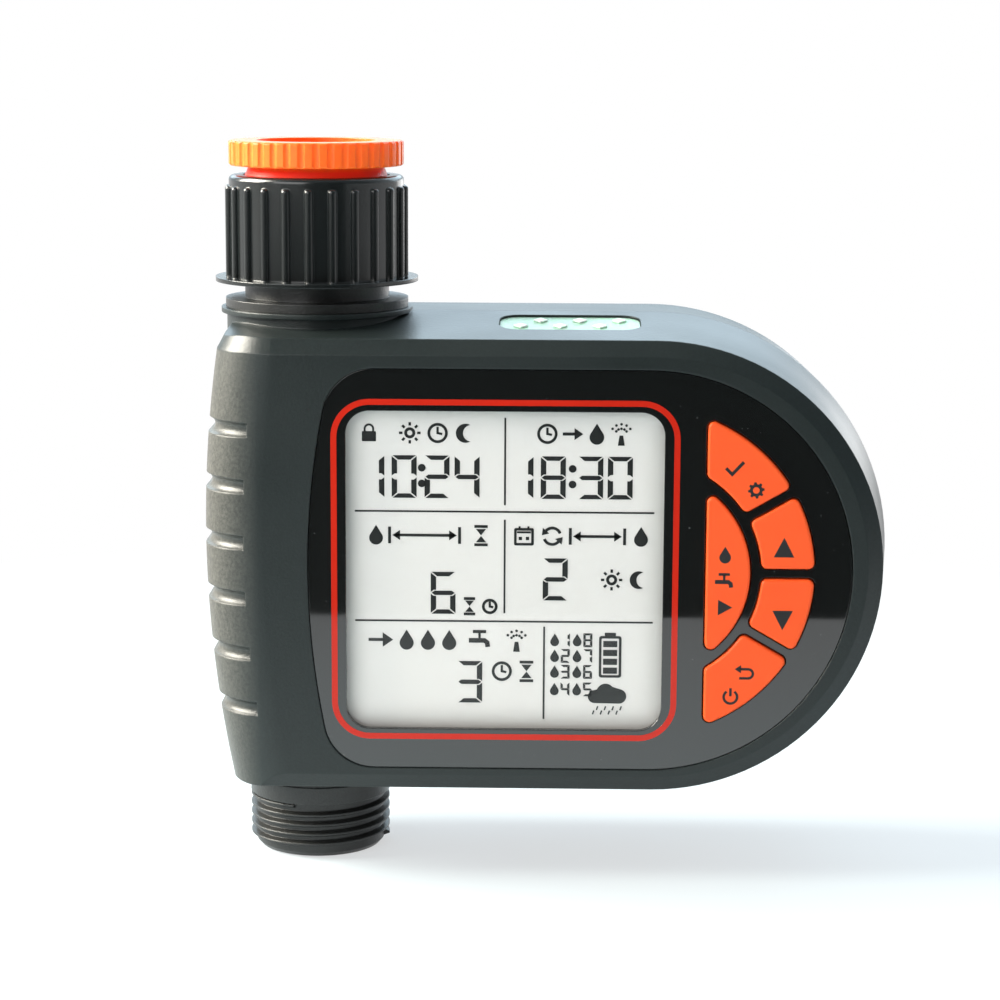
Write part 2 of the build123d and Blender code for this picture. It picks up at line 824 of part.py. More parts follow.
serration_count = 38
serration_r = 0.9
serration_out = 0.6
ring_edge = 0.3
collar_bottom = -6.6
collar_low_r = 13.0
collar_high_r = 12.2
lead_in_r = 10.75
lead_in = 1.6
inner_thread_r = 10.5
inner_crest_r = 9.3
washer_seat = -11.5
washer_floor = -13.5
washer_pocket_r = 9.3
adapter_core_r = 11.9
adapter_crest_r = 13.0
adapter_bore_r = 6.0
thread_start = 0.9

with BuildPart() as inlet_adapter:
    with BuildSketch(Plane.XY.offset(-adapter_ring)):
        Circle(adapter_r)
    extrude(amount=adapter_ring)
    chamfer(inlet_adapter.edges(), ring_edge)
    with BuildSketch(Plane.XY.offset(-adapter_ring)):
        with PolarLocations(adapter_r + serration_out, serration_count):
            Circle(serration_r)
    extrude(amount=adapter_ring, mode=Mode.SUBTRACT)
    with BuildSketch(Plane.XY.offset(collar_bottom)):
        Circle(collar_low_r)
    with BuildSketch(Plane.XY.offset(-adapter_ring)):
        Circle(collar_high_r)
    loft()
    with BuildSketch(Plane.XY.offset(adapter_end)):
        Circle(adapter_core_r)
    extrude(amount=collar_bottom - adapter_end)
    chamfer(inlet_adapter.edges().group_by(Axis.Z)[0], 0.5)
    add(thread_ridge(adapter_core_r, adapter_crest_r, adapter_end + thread_start, 4.6))
    with BuildSketch(Plane.XY.offset(adapter_end)):
        Circle(adapter_bore_r)
    extrude(amount=-adapter_end, mode=Mode.SUBTRACT)
    with BuildSketch(Plane.XY.offset(washer_floor)):
        Circle(washer_pocket_r)
    extrude(amount=-washer_floor, mode=Mode.SUBTRACT)
    with BuildSketch(Plane.XY.offset(washer_seat)):
        Circle(inner_thread_r)
    extrude(amount=-washer_seat, mode=Mode.SUBTRACT)
    with BuildSketch(Plane.XY.offset(-lead_in)):
        Circle(lead_in_r)
    extrude(amount=lead_in, mode=Mode.SUBTRACT)
    add(thread_ridge(inner_thread_r, inner_crest_r, washer_seat + 0.65, 4.6))
save(inlet_adapter, "inlet_adapter")

with BuildPart() as adapter_washer:
    add(ring(9.2, 6.3, washer_floor + 0.05, washer_seat - 0.15))
save(adapter_washer, "adapter_washer")


# ---------- swivel nut with raised ribs and a thin flange ----------

nut_root_r = 13.3
nut_crest_r = 12.15
nut_lip_r = 10.98
nut_lip_top = -23.3
nut_thread_low = -17.0
rib_count = 24
rib_top = -8.1
rib_tip_r = 0.25
rib_round = nut_rib_r - rib_tip_r

with BuildPart() as nut_rib:
    with BuildSketch(Plane.XZ):
        with BuildLine():
            Line((0, nut_bottom), (nut_rib_r, nut_bottom))
            Line((nut_rib_r, nut_bottom), (nut_rib_r, rib_top - rib_round))
            CenterArc((rib_tip_r, rib_top - rib_round), rib_round, 0, 90)
            Line((rib_tip_r, rib_top), (0, rib_top))
            Line((0, rib_top), (0, nut_bottom))
        make_face()
    revolve(axis=Axis.Z)

with BuildPart() as inlet_nut:
    with BuildSketch(Plane.XY.offset(nut_bottom)):
        Circle(nut_r)
    extrude(amount=nut_top - nut_bottom)
    fillet(inlet_nut.edges().group_by(Axis.Z)[-1], 0.9)
    with PolarLocations(nut_r, rib_count):
        add(nut_rib.part)
    with BuildSketch(Plane.XY.offset(nut_bottom)):
        Circle(nut_flange_r)
    extrude(amount=nut_flange)
    with BuildSketch(Plane.XY.offset(nut_bottom)):
        Circle(nut_lip_r)
    extrude(amount=nut_top - nut_bottom, mode=Mode.SUBTRACT)
    with BuildSketch(Plane.XY.offset(nut_lip_top)):
        Circle(nut_root_r - 0.3)
    extrude(amount=nut_top - nut_lip_top, mode=Mode.SUBTRACT)
    with BuildSketch(Plane.XY.offset(nut_thread_low)):
        Circle(nut_root_r)
    extrude(amount=nut_top - nut_thread_low, mode=Mode.SUBTRACT)
    add(thread_ridge(nut_root_r, nut_crest_r, adapter_end + thread_start + thread_pitch / 2, 4.2))
save(inlet_nut, "inlet_nut")

with BuildPart() as nut_washer:
    add(ring(12.6, 8.0, neck_end + 0.7, adapter_end - 0.1))
save(nut_washer, "nut_washer")

with BuildPart() as inlet_filter:
    add(ring(11.5, 5.6, neck_end, neck_end + 0.7))
    add(ring(7.2, 6.2, neck_end - 9, neck_end))
    add(ring(7.2, 0, neck_end - 9.8, neck_end - 9))
    for angle in range(0, 180, 20):
        for level in range(4):
            with BuildSketch(Plane.XZ.rotated((0, 0, angle))):
                with Locations((0, neck_end - 1.9 - 2.0 * level)):
                    RectangleRounded(1.3, 1.3, 0.3)
            extrude(amount=8, both=True, mode=Mode.SUBTRACT)
    with BuildSketch(Plane.XY.offset(neck_end - 9.8)):
        Circle(0.8)
        for radius, count in ((2.6, 6), (4.9, 12)):
            with PolarLocations(radius, count):
                Circle(0.65)
    extrude(amount=0.8, mode=Mode.SUBTRACT)
save(inlet_filter, "inlet_filter")

retainer_low = nut_lip_top + 0.2
with BuildPart() as nut_retaining_ring:
    add(ring(12.7, 10.0, retainer_low, retainer_low + 1.2))
    with BuildSketch(Plane.XY.offset(retainer_low)):
        with Locations((12, 0)):
            Rectangle(8, 3)
    extrude(amount=1.2, mode=Mode.SUBTRACT)
save(nut_retaining_ring, "nut_retaining_ring")


# ---------- valve body: neck, ball chamber and the G3/4 outlet ----------

tube_top_r = 10.9
shoulder = -25.6
flange_top = -28.3
seal_groove = 1.4
neck_seal_z = -34.0
outlet_seal_z = -113.0
stem_hole_r = 3.06
chamber_top = -75.2
lug_y = 9.0

with BuildPart() as valve_body:
    with BuildSketch(Plane.XZ) as profile:
        with BuildLine():
            Polyline(
                (0, neck_end),
                (tube_top_r, neck_end),
                (tube_top_r, retainer_low + 1.3),
                (tube_top_r - 1, retainer_low + 1.3),
                (tube_top_r - 1, retainer_low - 0.1),
                (tube_top_r, retainer_low - 0.1),
                (tube_top_r, shoulder),
                (neck_r, shoulder),
                (neck_r, flange_top),
                (16.6, flange_top),
                (16.6, boss_top),
                (neck_r, boss_top),
                (neck_r, neck_seal_z + seal_groove / 2),
                (neck_r - 1.1, neck_seal_z + seal_groove / 2),
                (neck_r - 1.1, neck_seal_z - seal_groove / 2),
                (neck_r, neck_seal_z - seal_groove / 2),
                (neck_r, -38),
                (tube_r, -38),
                (tube_r, outlet_seal_z + seal_groove / 2),
                (tube_r - 1.0, outlet_seal_z + seal_groove / 2),
                (tube_r - 1.0, outlet_seal_z - seal_groove / 2),
                (tube_r, outlet_seal_z - seal_groove / 2),
                (tube_r, outlet_land_top),
                (outlet_land_r, outlet_land_top),
                (outlet_land_r, outlet_land_bottom),
                (outlet_core_r, outlet_land_bottom),
                (outlet_core_r, outlet_end + 0.8),
                (outlet_core_r - 0.7, outlet_end),
                (0, outlet_end),
                close=True,
            )
        make_face()
    revolve(axis=Axis.Z)
    add(thread_ridge(outlet_core_r, outlet_land_r - 0.05, outlet_end + 1.3, 4.7))
    with BuildSketch(across(0)):
        with Locations((0, ball_z)):
            Circle(6.5)
        with Locations((lug_y, ball_z), (-lug_y, ball_z)):
            Circle(2.8)
    extrude(amount=gearbox_x)
    add(ring(inlet_bore_r, 0, -80, neck_end + 1), mode=Mode.SUBTRACT)
    add(ring(chamber_r, 0, outlet_end - 1, chamber_top), mode=Mode.SUBTRACT)
    with BuildSketch(across(5)):
        with Locations((0, ball_z)):
            Circle(stem_hole_r)
    extrude(amount=gearbox_x, mode=Mode.SUBTRACT)
    with BuildSketch(across(gearbox_x - 4.2)):
        with Locations((lug_y, ball_z), (-lug_y, ball_z)):
            Circle(1.05)
    extrude(amount=6, mode=Mode.SUBTRACT)
save(valve_body, "valve_body")


def seal_ring(middle_r, section_r, z):
    # a round-section rubber ring on the water axis
    with BuildPart() as piece:
        with BuildSketch(Plane.XZ):
            with Locations((middle_r, z)):
                Circle(section_r)
        revolve(axis=Axis.Z)
    return piece.part


with BuildPart() as neck_seal:
    add(seal_ring(neck_r - 0.45, 0.6, neck_seal_z))
save(neck_seal, "neck_seal")

with BuildPart() as outlet_seal:
    add(seal_ring(tube_r - 0.42, 0.54, outlet_seal_z))
save(outlet_seal, "outlet_seal")


# ---------- ball, seats and stem ----------

with BuildPart() as valve_ball:
    with Locations((0, 0, ball_z)):
        Sphere(ball_r)
    with BuildSketch(facing(ball_r + 1)):
        with Locations((0, ball_z)):
            Circle(ball_bore_r)
    extrude(amount=2 * ball_r + 2, mode=Mode.SUBTRACT)
    with BuildSketch(across(6.6)):
        with Locations((0, ball_z)):
            Rectangle(2 * ball_r, 2.5)
    extrude(amount=4, mode=Mode.SUBTRACT)
save(valve_ball, "valve_ball")

seat_depth = 6.3
for name, low_z in (("upper_ball_seat", chamber_top - seat_depth),
                    ("lower_ball_seat", 2 * ball_z - chamber_top)):
    with BuildPart() as seat:
        add(ring(chamber_r - 0.05, 5.8, low_z, low_z + seat_depth))
        with Locations((0, 0, ball_z)):
            Sphere(ball_r + 0.04, mode=Mode.SUBTRACT)
    save(seat, name)

with BuildPart() as seat_retainer:
    add(ring(chamber_r - 0.05, 7.8, outlet_end + 1.2, 2 * ball_z - chamber_top))
save(seat_retainer, "seat_retainer")

stem_end = 22.6
drive_start = gearbox_x + gearbox_plate + 0.6
drive_size = 3.6
stem_seal_spots = (11.6, 14.0)
with BuildPart() as valve_stem:
    with BuildSketch(across(6.7)):
        with Locations((0, ball_z)):
            Rectangle(5.0, 2.4)
    extrude(amount=2.9)
    with BuildSketch(across(9.3)):
        with Locations((0, ball_z)):
            Circle(3.0)
    extrude(amount=drive_start - 9.3)
    with BuildSketch(across(drive_start)):
        with Locations((0, ball_z)):
            Rectangle(drive_size, drive_size)
    extrude(amount=stem_end - drive_start)
    for spot in stem_seal_spots:
        with BuildSketch(across(spot - 0.45)):
            with Locations((0, ball_z)):
                Circle(3.5)
                Circle(2.3, mode=Mode.SUBTRACT)
        extrude(amount=0.9, mode=Mode.SUBTRACT)
save(valve_stem, "valve_stem")

with BuildPart() as stem_seals:
    stem_axis = Axis((0, 0, ball_z), (1, 0, 0))
    for spot in stem_seal_spots:
        with BuildSketch(Plane.XZ):
            with Locations((spot, ball_z + 2.68)):
                Circle(0.34)
        revolve(axis=stem_axis)
save(stem_seals, "stem_seals")


# ---------- gear train ----------

output_x = gearbox_x + gearbox_plate + 1.0
wheel_b_x = output_x + 5.0
wheel_a_x = wheel_b_x + 3.4
wheel_width = 2.6


def gear_piece(face, x, z, width, bore_r):
    # one gear on an axis along X
    with BuildPart() as piece:
        with BuildSketch(across(x)):
            with Locations((0, z)):
                add(face)
                if bore_r:
                    Circle(bore_r, mode=Mode.SUBTRACT)
        extrude(amount=width)
    return piece.part


with BuildPart() as output_gear:
    add(gear_piece(wheel_face, output_x, ball_z, 4.0, 0))
    with BuildSketch(across(output_x)):
        with Locations((0, ball_z)):
            Rectangle(drive_size + 0.06, drive_size + 0.06)
    extrude(amount=4.0, mode=Mode.SUBTRACT)
save(output_gear, "output_gear")

with BuildPart() as gear_wheel_b:
    add(gear_piece(pinion_face, output_x - 0.4, wheel_b_z, wheel_b_x - output_x + 0.4, 1.05))
    add(gear_piece(wheel_face, wheel_b_x, wheel_b_z, wheel_width, 1.05))
save(gear_wheel_b, "gear_wheel_b")

with BuildPart() as gear_wheel_a:
    add(gear_piece(pinion_face, wheel_b_x - 0.4, wheel_a_z, wheel_a_x - wheel_b_x + 0.4, 1.05))
    add(gear_piece(wheel_face, wheel_a_x, wheel_a_z, wheel_width - 0.2, 1.05))
save(gear_wheel_a, "gear_wheel_a")

with BuildPart() as motor_pinion:
    add(gear_piece(pinion_face, wheel_a_x - 0.4, motor_z, 3.2, 0.9))
save(motor_pinion, "motor_pinion")

motor_x = gearbox_cover_x + gearbox_plate
with BuildPart() as motor_shaft:
    with BuildSketch(across(wheel_a_x - 0.8)):
        with Locations((0, motor_z)):
            Circle(0.9)
    extrude(amount=motor_x + 3 - wheel_a_x + 0.8)
save(motor_shaft, "motor_shaft")

with BuildPart() as gear_pins:
    with BuildSketch(across(gearbox_x + 0.1)):
        with Locations((0, wheel_a_z), (0, wheel_b_z)):
            Circle(pin_r)
    extrude(amount=gearbox_cover_x + gearbox_plate - gearbox_x - 0.2)
save(gear_pins, "gear_pins")


# ---------- gearbox plates, motor and their screws ----------

post_spots = [(y, z) for y in (-9.4, 9.4) for z in (-96.0, -47.2)]
plate_z = (gearbox_low + gearbox_high) / 2

with BuildPart() as gearbox_base:
    with BuildSketch(across(gearbox_x)):
        with Locations((0, plate_z)):
            RectangleRounded(2 * gearbox_half_width, gearbox_high - gearbox_low, 2.4)
        with Locations((0, ball_z)):
            Circle(3.3, mode=Mode.SUBTRACT)
        with Locations((0, wheel_a_z), (0, wheel_b_z)):
            Circle(1.0, mode=Mode.SUBTRACT)
        with Locations((lug_y, ball_z), (-lug_y, ball_z)):
            Circle(1.15, mode=Mode.SUBTRACT)
    extrude(amount=gearbox_plate)
    with BuildSketch(across(gearbox_x + gearbox_plate)):
        with Locations(*post_spots):
            Circle(2.3)
    extrude(amount=gearbox_cover_x - gearbox_x - gearbox_plate)
    with BuildSketch(across(gearbox_cover_x - 6)):
        with Locations(*post_spots):
            Circle(0.95)
    extrude(amount=6, mode=Mode.SUBTRACT)
save(gearbox_base, "gearbox_base")

with BuildPart() as gearbox_cover:
    with BuildSketch(across(gearbox_cover_x)):
        with Locations((0, plate_z)):
            RectangleRounded(2 * gearbox_half_width, gearbox_high - gearbox_low, 2.4)
        with Locations((0, motor_z)):
            Circle(3.4, mode=Mode.SUBTRACT)
        with Locations((0, wheel_a_z), (0, wheel_b_z)):
            Circle(1.0, mode=Mode.SUBTRACT)
        with Locations(*post_spots):
            Circle(1.05, mode=Mode.SUBTRACT)
    extrude(amount=gearbox_plate)
save(gearbox_cover, "gearbox_cover")

with BuildPart() as gearbox_screws:
    with BuildSketch(across(gearbox_cover_x + gearbox_plate)):
        with Locations(*post_spots):
            Circle(1.8)
    extrude(amount=1.2)
    with BuildSketch(across(gearbox_cover_x - 5)):
        with Locations(*post_spots):
            Circle(0.9)
    extrude(amount=5 + gearbox_plate)
save(gearbox_screws, "gearbox_screws")

with BuildPart() as valve_screws:
    with BuildSketch(across(gearbox_x + gearbox_plate)):
        with Locations((lug_y, ball_z), (-lug_y, ball_z)):
            Circle(1.9)
    extrude(amount=0.9)
    with BuildSketch(across(gearbox_x - 4)):
        with Locations((lug_y, ball_z), (-lug_y, ball_z)):
            Circle(1.0)
    extrude(amount=4 + gearbox_plate)
save(valve_screws, "valve_screws")

motor_r = 10.0
motor_half_width = 7.6
can_length = 20.5
with BuildPart() as motor_can:
    with BuildSketch(across(motor_x)):
        with Locations((0, motor_z)):
            Circle(motor_r)
            Rectangle(2 * motor_half_width, 3 * motor_r, mode=Mode.INTERSECT)
    extrude(amount=can_length)
    with BuildSketch(across(motor_x)):
        with Locations((0, motor_z)):
            Circle(0.95)
    extrude(amount=can_length, mode=Mode.SUBTRACT)
save(motor_can, "motor_can")

with BuildPart() as motor_end_cap:
    with BuildSketch(across(motor_x + can_length)):
        with Locations((0, motor_z)):
            Circle(motor_r - 0.6)
            Rectangle(2 * motor_half_width - 1.2, 3 * motor_r, mode=Mode.INTERSECT)
    extrude(amount=3)
    with BuildSketch(across(motor_x + can_length + 3)):
        with Locations((0, motor_z + 6), (0, motor_z - 6)):
            Rectangle(2.2, 0.5)
    extrude(amount=2.2)
save(motor_end_cap, "motor_end_cap")

with BuildPart() as limit_switches:
    with BuildSketch(across(gearbox_x + gearbox_plate)):
        with Locations((4.2, gearbox_low + 1.1), (-4.2, gearbox_low + 1.1)):
            Rectangle(4.6, 2.2)
    extrude(amount=5)
save(limit_switches, "limit_switches")


# ---------- leads inside the case, from the motor and the battery box to the board's socket ----------

lead_r = 0.5
lead_end_y = board_back + 2.6
lead_z = -62.0
lead_turn_y = 0.0
box_top_z = pocket_high_z + box_wall


def lead(route, bend_r):
    # one insulated wire: straight runs joined by tangent arcs
    with BuildPart() as wire:
        with BuildLine() as path:
            FilletPolyline(*route, radius=bend_r)
        start = path.wires()[0]
        with BuildSketch(Plane(origin=start @ 0, z_dir=start % 0)):
            Circle(lead_r)
        sweep(path=start)
    return wire.part


terminal_x = motor_x + can_length + 5.2
with BuildPart() as motor_leads:
    for turn_x, terminal_z in ((61.9, motor_z + 6), (64.2, motor_z - 6)):
        add(lead([(terminal_x, lead_turn_y, terminal_z), (turn_x, lead_turn_y, terminal_z),
                  (turn_x, lead_turn_y, lead_z), (turn_x, lead_end_y, lead_z)], 2.0))
save(motor_leads, "motor_leads")

with BuildPart() as battery_leads:
    for lead_x in (67.0, 69.5):
        add(lead([(lead_x, 8.0, box_top_z), (lead_x, 8.0, lead_z), (lead_x, lead_end_y, lead_z)], 3.8))
save(battery_leads, "battery_leads")
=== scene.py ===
import json
import math

import bmesh
import bpy
from mathutils import Matrix, Vector


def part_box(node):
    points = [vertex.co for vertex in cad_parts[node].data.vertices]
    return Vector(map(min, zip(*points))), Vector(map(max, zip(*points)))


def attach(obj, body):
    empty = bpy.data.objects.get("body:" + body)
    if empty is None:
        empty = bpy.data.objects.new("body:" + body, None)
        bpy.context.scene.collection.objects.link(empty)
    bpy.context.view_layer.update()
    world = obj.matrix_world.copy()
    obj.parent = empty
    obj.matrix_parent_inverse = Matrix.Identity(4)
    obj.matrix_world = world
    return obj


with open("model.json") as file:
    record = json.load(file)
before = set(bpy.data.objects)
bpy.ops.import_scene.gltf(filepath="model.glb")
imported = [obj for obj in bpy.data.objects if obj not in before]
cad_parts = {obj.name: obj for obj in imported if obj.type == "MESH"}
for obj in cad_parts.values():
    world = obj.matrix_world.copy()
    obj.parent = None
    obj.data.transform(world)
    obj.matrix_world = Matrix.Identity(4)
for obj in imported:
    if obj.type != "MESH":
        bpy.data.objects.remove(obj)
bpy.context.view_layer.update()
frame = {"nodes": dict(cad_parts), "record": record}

mm = 0.001
scene = bpy.context.scene
nodes = frame["nodes"]
bodyOf = {node: body for body, members in frame["record"]["behaviour"]["bodies"].items() for node in members}
print("frame loaded:", len(nodes), "nodes")


# camera: in front of the display, a little above it and slightly turned

cameraLook = {
    "place": (0.04240, -0.48082, 0.018654),
    "down": 9.964,      # degrees below the horizon
    "turn": -1.056,     # degrees to the left
    "roll": 0.281,
    "lens": 95.12,
    "sensor": 36.0,
}


def placeCamera(look):
    down, turn, roll = (math.radians(look[key]) for key in ("down", "turn", "roll"))
    ahead = Vector((math.sin(turn) * math.cos(down), math.cos(turn) * math.cos(down), -math.sin(down)))
    right = Vector((math.cos(turn), -math.sin(turn), 0))
    up = right.cross(ahead)
    right, up = right * math.cos(roll) + up * math.sin(roll), up * math.cos(roll) - right * math.sin(roll)
    data = bpy.data.cameras.new("camera")
    data.lens = look["lens"]
    data.sensor_width = look["sensor"]
    data.clip_start = 0.01
    camera = bpy.data.objects.new("camera", data)
    scene.collection.objects.link(camera)
    turnMatrix = Matrix((right, up, -ahead)).transposed().to_4x4()
    camera.matrix_world = Matrix.Translation(look["place"]) @ turnMatrix
    scene.camera = camera


placeCamera(cameraLook)
scene.view_settings.view_transform = "Standard"
print("camera placed")


# small helpers for node trees

def newFinish(name):
    finish = bpy.data.materials.new(name)
    finish.use_nodes = True
    tree = finish.node_tree
    return finish, tree, tree.nodes["Principled BSDF"]


def addNode(tree, kind, settings=None, **inputs):
    node = tree.nodes.new(kind)
    for key, value in (settings or {}).items():
        setattr(node, key, value)
    for key, value in inputs.items():
        socket = node.inputs[int(key[1:]) if key[0] == "i" and key[1:].isdigit() else key]
        if isinstance(value, bpy.types.NodeSocket):
            tree.links.new(value, socket)
        else:
            socket.default_value = value
    return node


def objectPlace(tree):
    return addNode(tree, "ShaderNodeTexCoord").outputs["Object"]


def noiseOf(tree, place, size, detail=2.0, roughness=0.5):
    node = addNode(tree, "ShaderNodeTexNoise", None, Vector=place, Scale=1 / size, Detail=detail,
                   Roughness=roughness)
    return node.outputs["Fac"]


def mathOf(tree, operation, first, second=0.0, third=0.0):
    node = addNode(tree, "ShaderNodeMath", {"operation": operation}, i0=first, i1=second, i2=third)
    return node.outputs[0]


def spread(tree, value, lowIn, highIn, lowOut, highOut):
    node = addNode(tree, "ShaderNodeMapRange", None, i0=value, i1=lowIn, i2=highIn, i3=lowOut, i4=highOut)
    return node.outputs[0]


def mixColour(tree, factor, first, second):
    node = addNode(tree, "ShaderNodeMix", {"data_type": "RGBA"}, i0=factor, i6=first, i7=second)
    return node.outputs[2]


def toned(tree, noise, low, high):
    # most of a noise lies between these two values
    return spread(tree, noise, 0.3, 0.7, low, high)


def roundedNormal(tree, radius):
    return addNode(tree, "ShaderNodeBevel", {"samples": 6}, Radius=radius).outputs[0]


def edgeMask(tree, rounded):
    # 1 on sharp edges, 0 on open faces
    facing = addNode(tree, "ShaderNodeNewGeometry").outputs["Normal"]
    product = addNode(tree, "ShaderNodeVectorMath", {"operation": "DOT_PRODUCT"}, i0=rounded, i1=facing)
    return spread(tree, product.outputs["Value"], 0.995, 0.80, 0.0, 1.0)


def bumpOf(tree, height, depth, normal=None):
    node = addNode(tree, "ShaderNodeBump", None, Height=height, Distance=depth, Strength=1.0)
    if normal is not None:
        tree.links.new(normal, node.inputs["Normal"])
    return node.outputs[0]


def setSockets(shader, **values):
    for key, value in values.items():
        shader.inputs[key.replace("_", " ")].default_value = value


def grey(level):
    return (level, level, level, 1)


def tinted(colour, gain):
    return tuple(min(1, channel * gain) for channel in colour[:3]) + (1,)


# finishes, one function for each kind of stuff

driftSize = 0.03
edgeWearAndHighlightSize = 0.004
tarnish = 0.75
metalEdge = 0.0001

def plasticFinish(name, look):
    finish, tree, shader = newFinish(name)
    place = objectPlace(tree)
    drift = noiseOf(tree, place, driftSize, 3)
    grain = noiseOf(tree, place, look["grainSize"], 2)
    rounded = roundedNormal(tree, look["edge"])
    # edges turn lighter, broken up by noise: partly wear, partly a painted highlight
    edges = mathOf(tree, "MULTIPLY", edgeMask(tree, rounded), noiseOf(tree, place, edgeWearAndHighlightSize, 3))
    colour = mixColour(tree, toned(tree, drift, 0, 1), tinted(look["colour"], 1 - look["drift"]),
                       tinted(look["colour"], 1 + look["drift"]))
    colour = mixColour(tree, spread(tree, grain, 0.35, 0.65, 0, look.get("speckle", 0.3)), colour,
                       tinted(look["colour"], look.get("speckleGain", 1.3)))
    colour = mixColour(tree, mathOf(tree, "MULTIPLY", edges, look.get("edgeWearAndHighlight", 0.5)), colour,
                       tinted(look["colour"], look.get("edgeWearAndHighlightGain", 1.6)))
    if "paintedShadeColour" in look:
        # a redder tint below a level, painted by place: painted shade under the ring, with the light that
        # comes through the plastic there
        level = addNode(tree, "ShaderNodeSeparateXYZ", None, Vector=place).outputs["Z"]
        high, low = look["paintedShadeBelow"]
        paintedShade = spread(tree, level, high * mm, low * mm, 0, 1)
        colour = mixColour(tree, paintedShade, colour, look["paintedShadeColour"] + (1,))
    low, high = look["rough"]
    rough = toned(tree, drift, low, high)
    if "gripPaintedLightColour" in look:
        # the hand grip gets a coarser grain by its place, and a paler colour there that is painted light from
        # the side
        axes = addNode(tree, "ShaderNodeSeparateXYZ", None, Vector=place)
        left = spread(tree, axes.outputs["X"], look["gripEdge"][0] * mm, look["gripEdge"][1] * mm, 0, 1)
        gripTop = look["gripTop"]
        under = spread(tree, axes.outputs["Z"], gripTop * mm, (gripTop - look["gripFade"]) * mm, 0, 1)
        grip = mathOf(tree, "MULTIPLY", left, under)
        coarse = noiseOf(tree, place, look["gripGrain"], 4, 0.7)
        gripGrainAndPaintedLight = mixColour(tree, spread(tree, coarse, 0.35, 0.65, 0, 1), tinted(look["gripPaintedLightColour"], 0.6),
                             tinted(look["gripPaintedLightColour"], 1.45))
        colour = mixColour(tree, grip, colour, gripGrainAndPaintedLight)
        rough = mathOf(tree, "ADD", rough, mathOf(tree, "MULTIPLY", grip, 0.02))
    tree.links.new(colour, shader.inputs["Base Color"])
    tree.links.new(rough, shader.inputs["Roughness"])
    tree.links.new(bumpOf(tree, grain, look["grainDepth"], rounded), shader.inputs["Normal"])
    setSockets(shader, **look.get("sockets", {}))
    return finish


def metalFinish(name, look):
    finish, tree, shader = newFinish(name)
    place = objectPlace(tree)
    brush = look.get("brush", (1, 1, 1))
    stretched = addNode(tree, "ShaderNodeMapping", None, Vector=place, Scale=brush)
    lines = noiseOf(tree, stretched.outputs[0], look["grainSize"], 3)
    drift = noiseOf(tree, place, 0.006, 3)
    colour = mixColour(tree, spread(tree, drift, 0.35, 0.7, 0, 1), look["colour"] + (1,),
                       tinted(look["colour"], tarnish))
    tree.links.new(colour, shader.inputs["Base Color"])
    low, high = look["rough"]
    tree.links.new(toned(tree, lines, low, high), shader.inputs["Roughness"])
    rounded = roundedNormal(tree, metalEdge)
    tree.links.new(bumpOf(tree, lines, look["grainDepth"], rounded), shader.inputs["Normal"])
    setSockets(shader, Metallic=1.0)
    return finish


def boardFinish(name, look):
    # solder mask over copper: square-ish runs show as a slightly lighter, raised pattern
    finish, tree, shader = newFinish(name)
    place = objectPlace(tree)
    cells = addNode(tree, "ShaderNodeTexVoronoi", {"distance": "CHEBYCHEV", "feature": "F1"},
                    Vector=place, Scale=1 / look["cell"], Randomness=0.6)
    runs = spread(tree, cells.outputs["Distance"], 0.46, 0.5, 0.0, 1.0)
    weave = noiseOf(tree, place, 0.0006, 2)
    colour = mixColour(tree, runs, look["mask"] + (1,), look["copper"] + (1,))
    colour = mixColour(tree, spread(tree, weave, 0.4, 0.6, 0, 0.25), colour, tinted(look["mask"], 0.6))
    tree.links.new(colour, shader.inputs["Base Color"])
    tree.links.new(toned(tree, weave, 0.28, 0.42), shader.inputs["Roughness"])
    tree.links.new(bumpOf(tree, runs, 0.00003, roundedNormal(tree, 0.0001)), shader.inputs["Normal"])
    return finish


def panelFinish(name, look):
    # glossy black acrylic with a little dust and the faintest orange peel
    finish, tree, shader = newFinish(name)
    place = objectPlace(tree)
    smudge = noiseOf(tree, place, 0.018, 4)
    dust = noiseOf(tree, place, 0.0005, 1)
    specks = spread(tree, dust, 0.80, 0.84, 0, 1)
    colour = mixColour(tree, specks, look["colour"] + (1,), grey(0.12))
    tree.links.new(colour, shader.inputs["Base Color"])
    low, high = look["rough"]
    film = spread(tree, smudge, 0.35, 0.7, low, high)
    rough = mathOf(tree, "ADD", film, mathOf(tree, "MULTIPLY", specks, 0.3))
    tree.links.new(rough, shader.inputs["Roughness"])
    tree.links.new(bumpOf(tree, smudge, 0.000004, roundedNormal(tree, look["edge"])), shader.inputs["Normal"])
    setSockets(shader, IOR=look["ior"])
    return finish


def clearFinish(name, look):
    # thin clear plastic: mostly see-through with a glossy skin
    finish, tree, shader = newFinish(name)
    place = objectPlace(tree)
    smudge = noiseOf(tree, place, 0.01, 3)
    tree.nodes.remove(shader)
    through = addNode(tree, "ShaderNodeBsdfTransparent", None, Color=look["tint"] + (1,))
    gloss = addNode(tree, "ShaderNodeBsdfGlossy", None, Roughness=toned(tree, smudge, *look["rough"]),
                    Normal=bumpOf(tree, smudge, look["wave"]))
    # only the outer skin shines: seen from inside, the sheen would turn into a full mirror at a slant
    outside = mathOf(tree, "SUBTRACT", 1.0, addNode(tree, "ShaderNodeNewGeometry").outputs["Backfacing"])
    fresnel = addNode(tree, "ShaderNodeFresnel", None, IOR=look["ior"])
    sheen = mathOf(tree, "MULTIPLY", fresnel.outputs[0], outside)
    mixed = addNode(tree, "ShaderNodeMixShader", None, i0=sheen, i1=through.outputs[0],
                    i2=gloss.outputs[0])
    tree.links.new(mixed.outputs[0], tree.nodes["Material Output"].inputs["Surface"])
    return finish


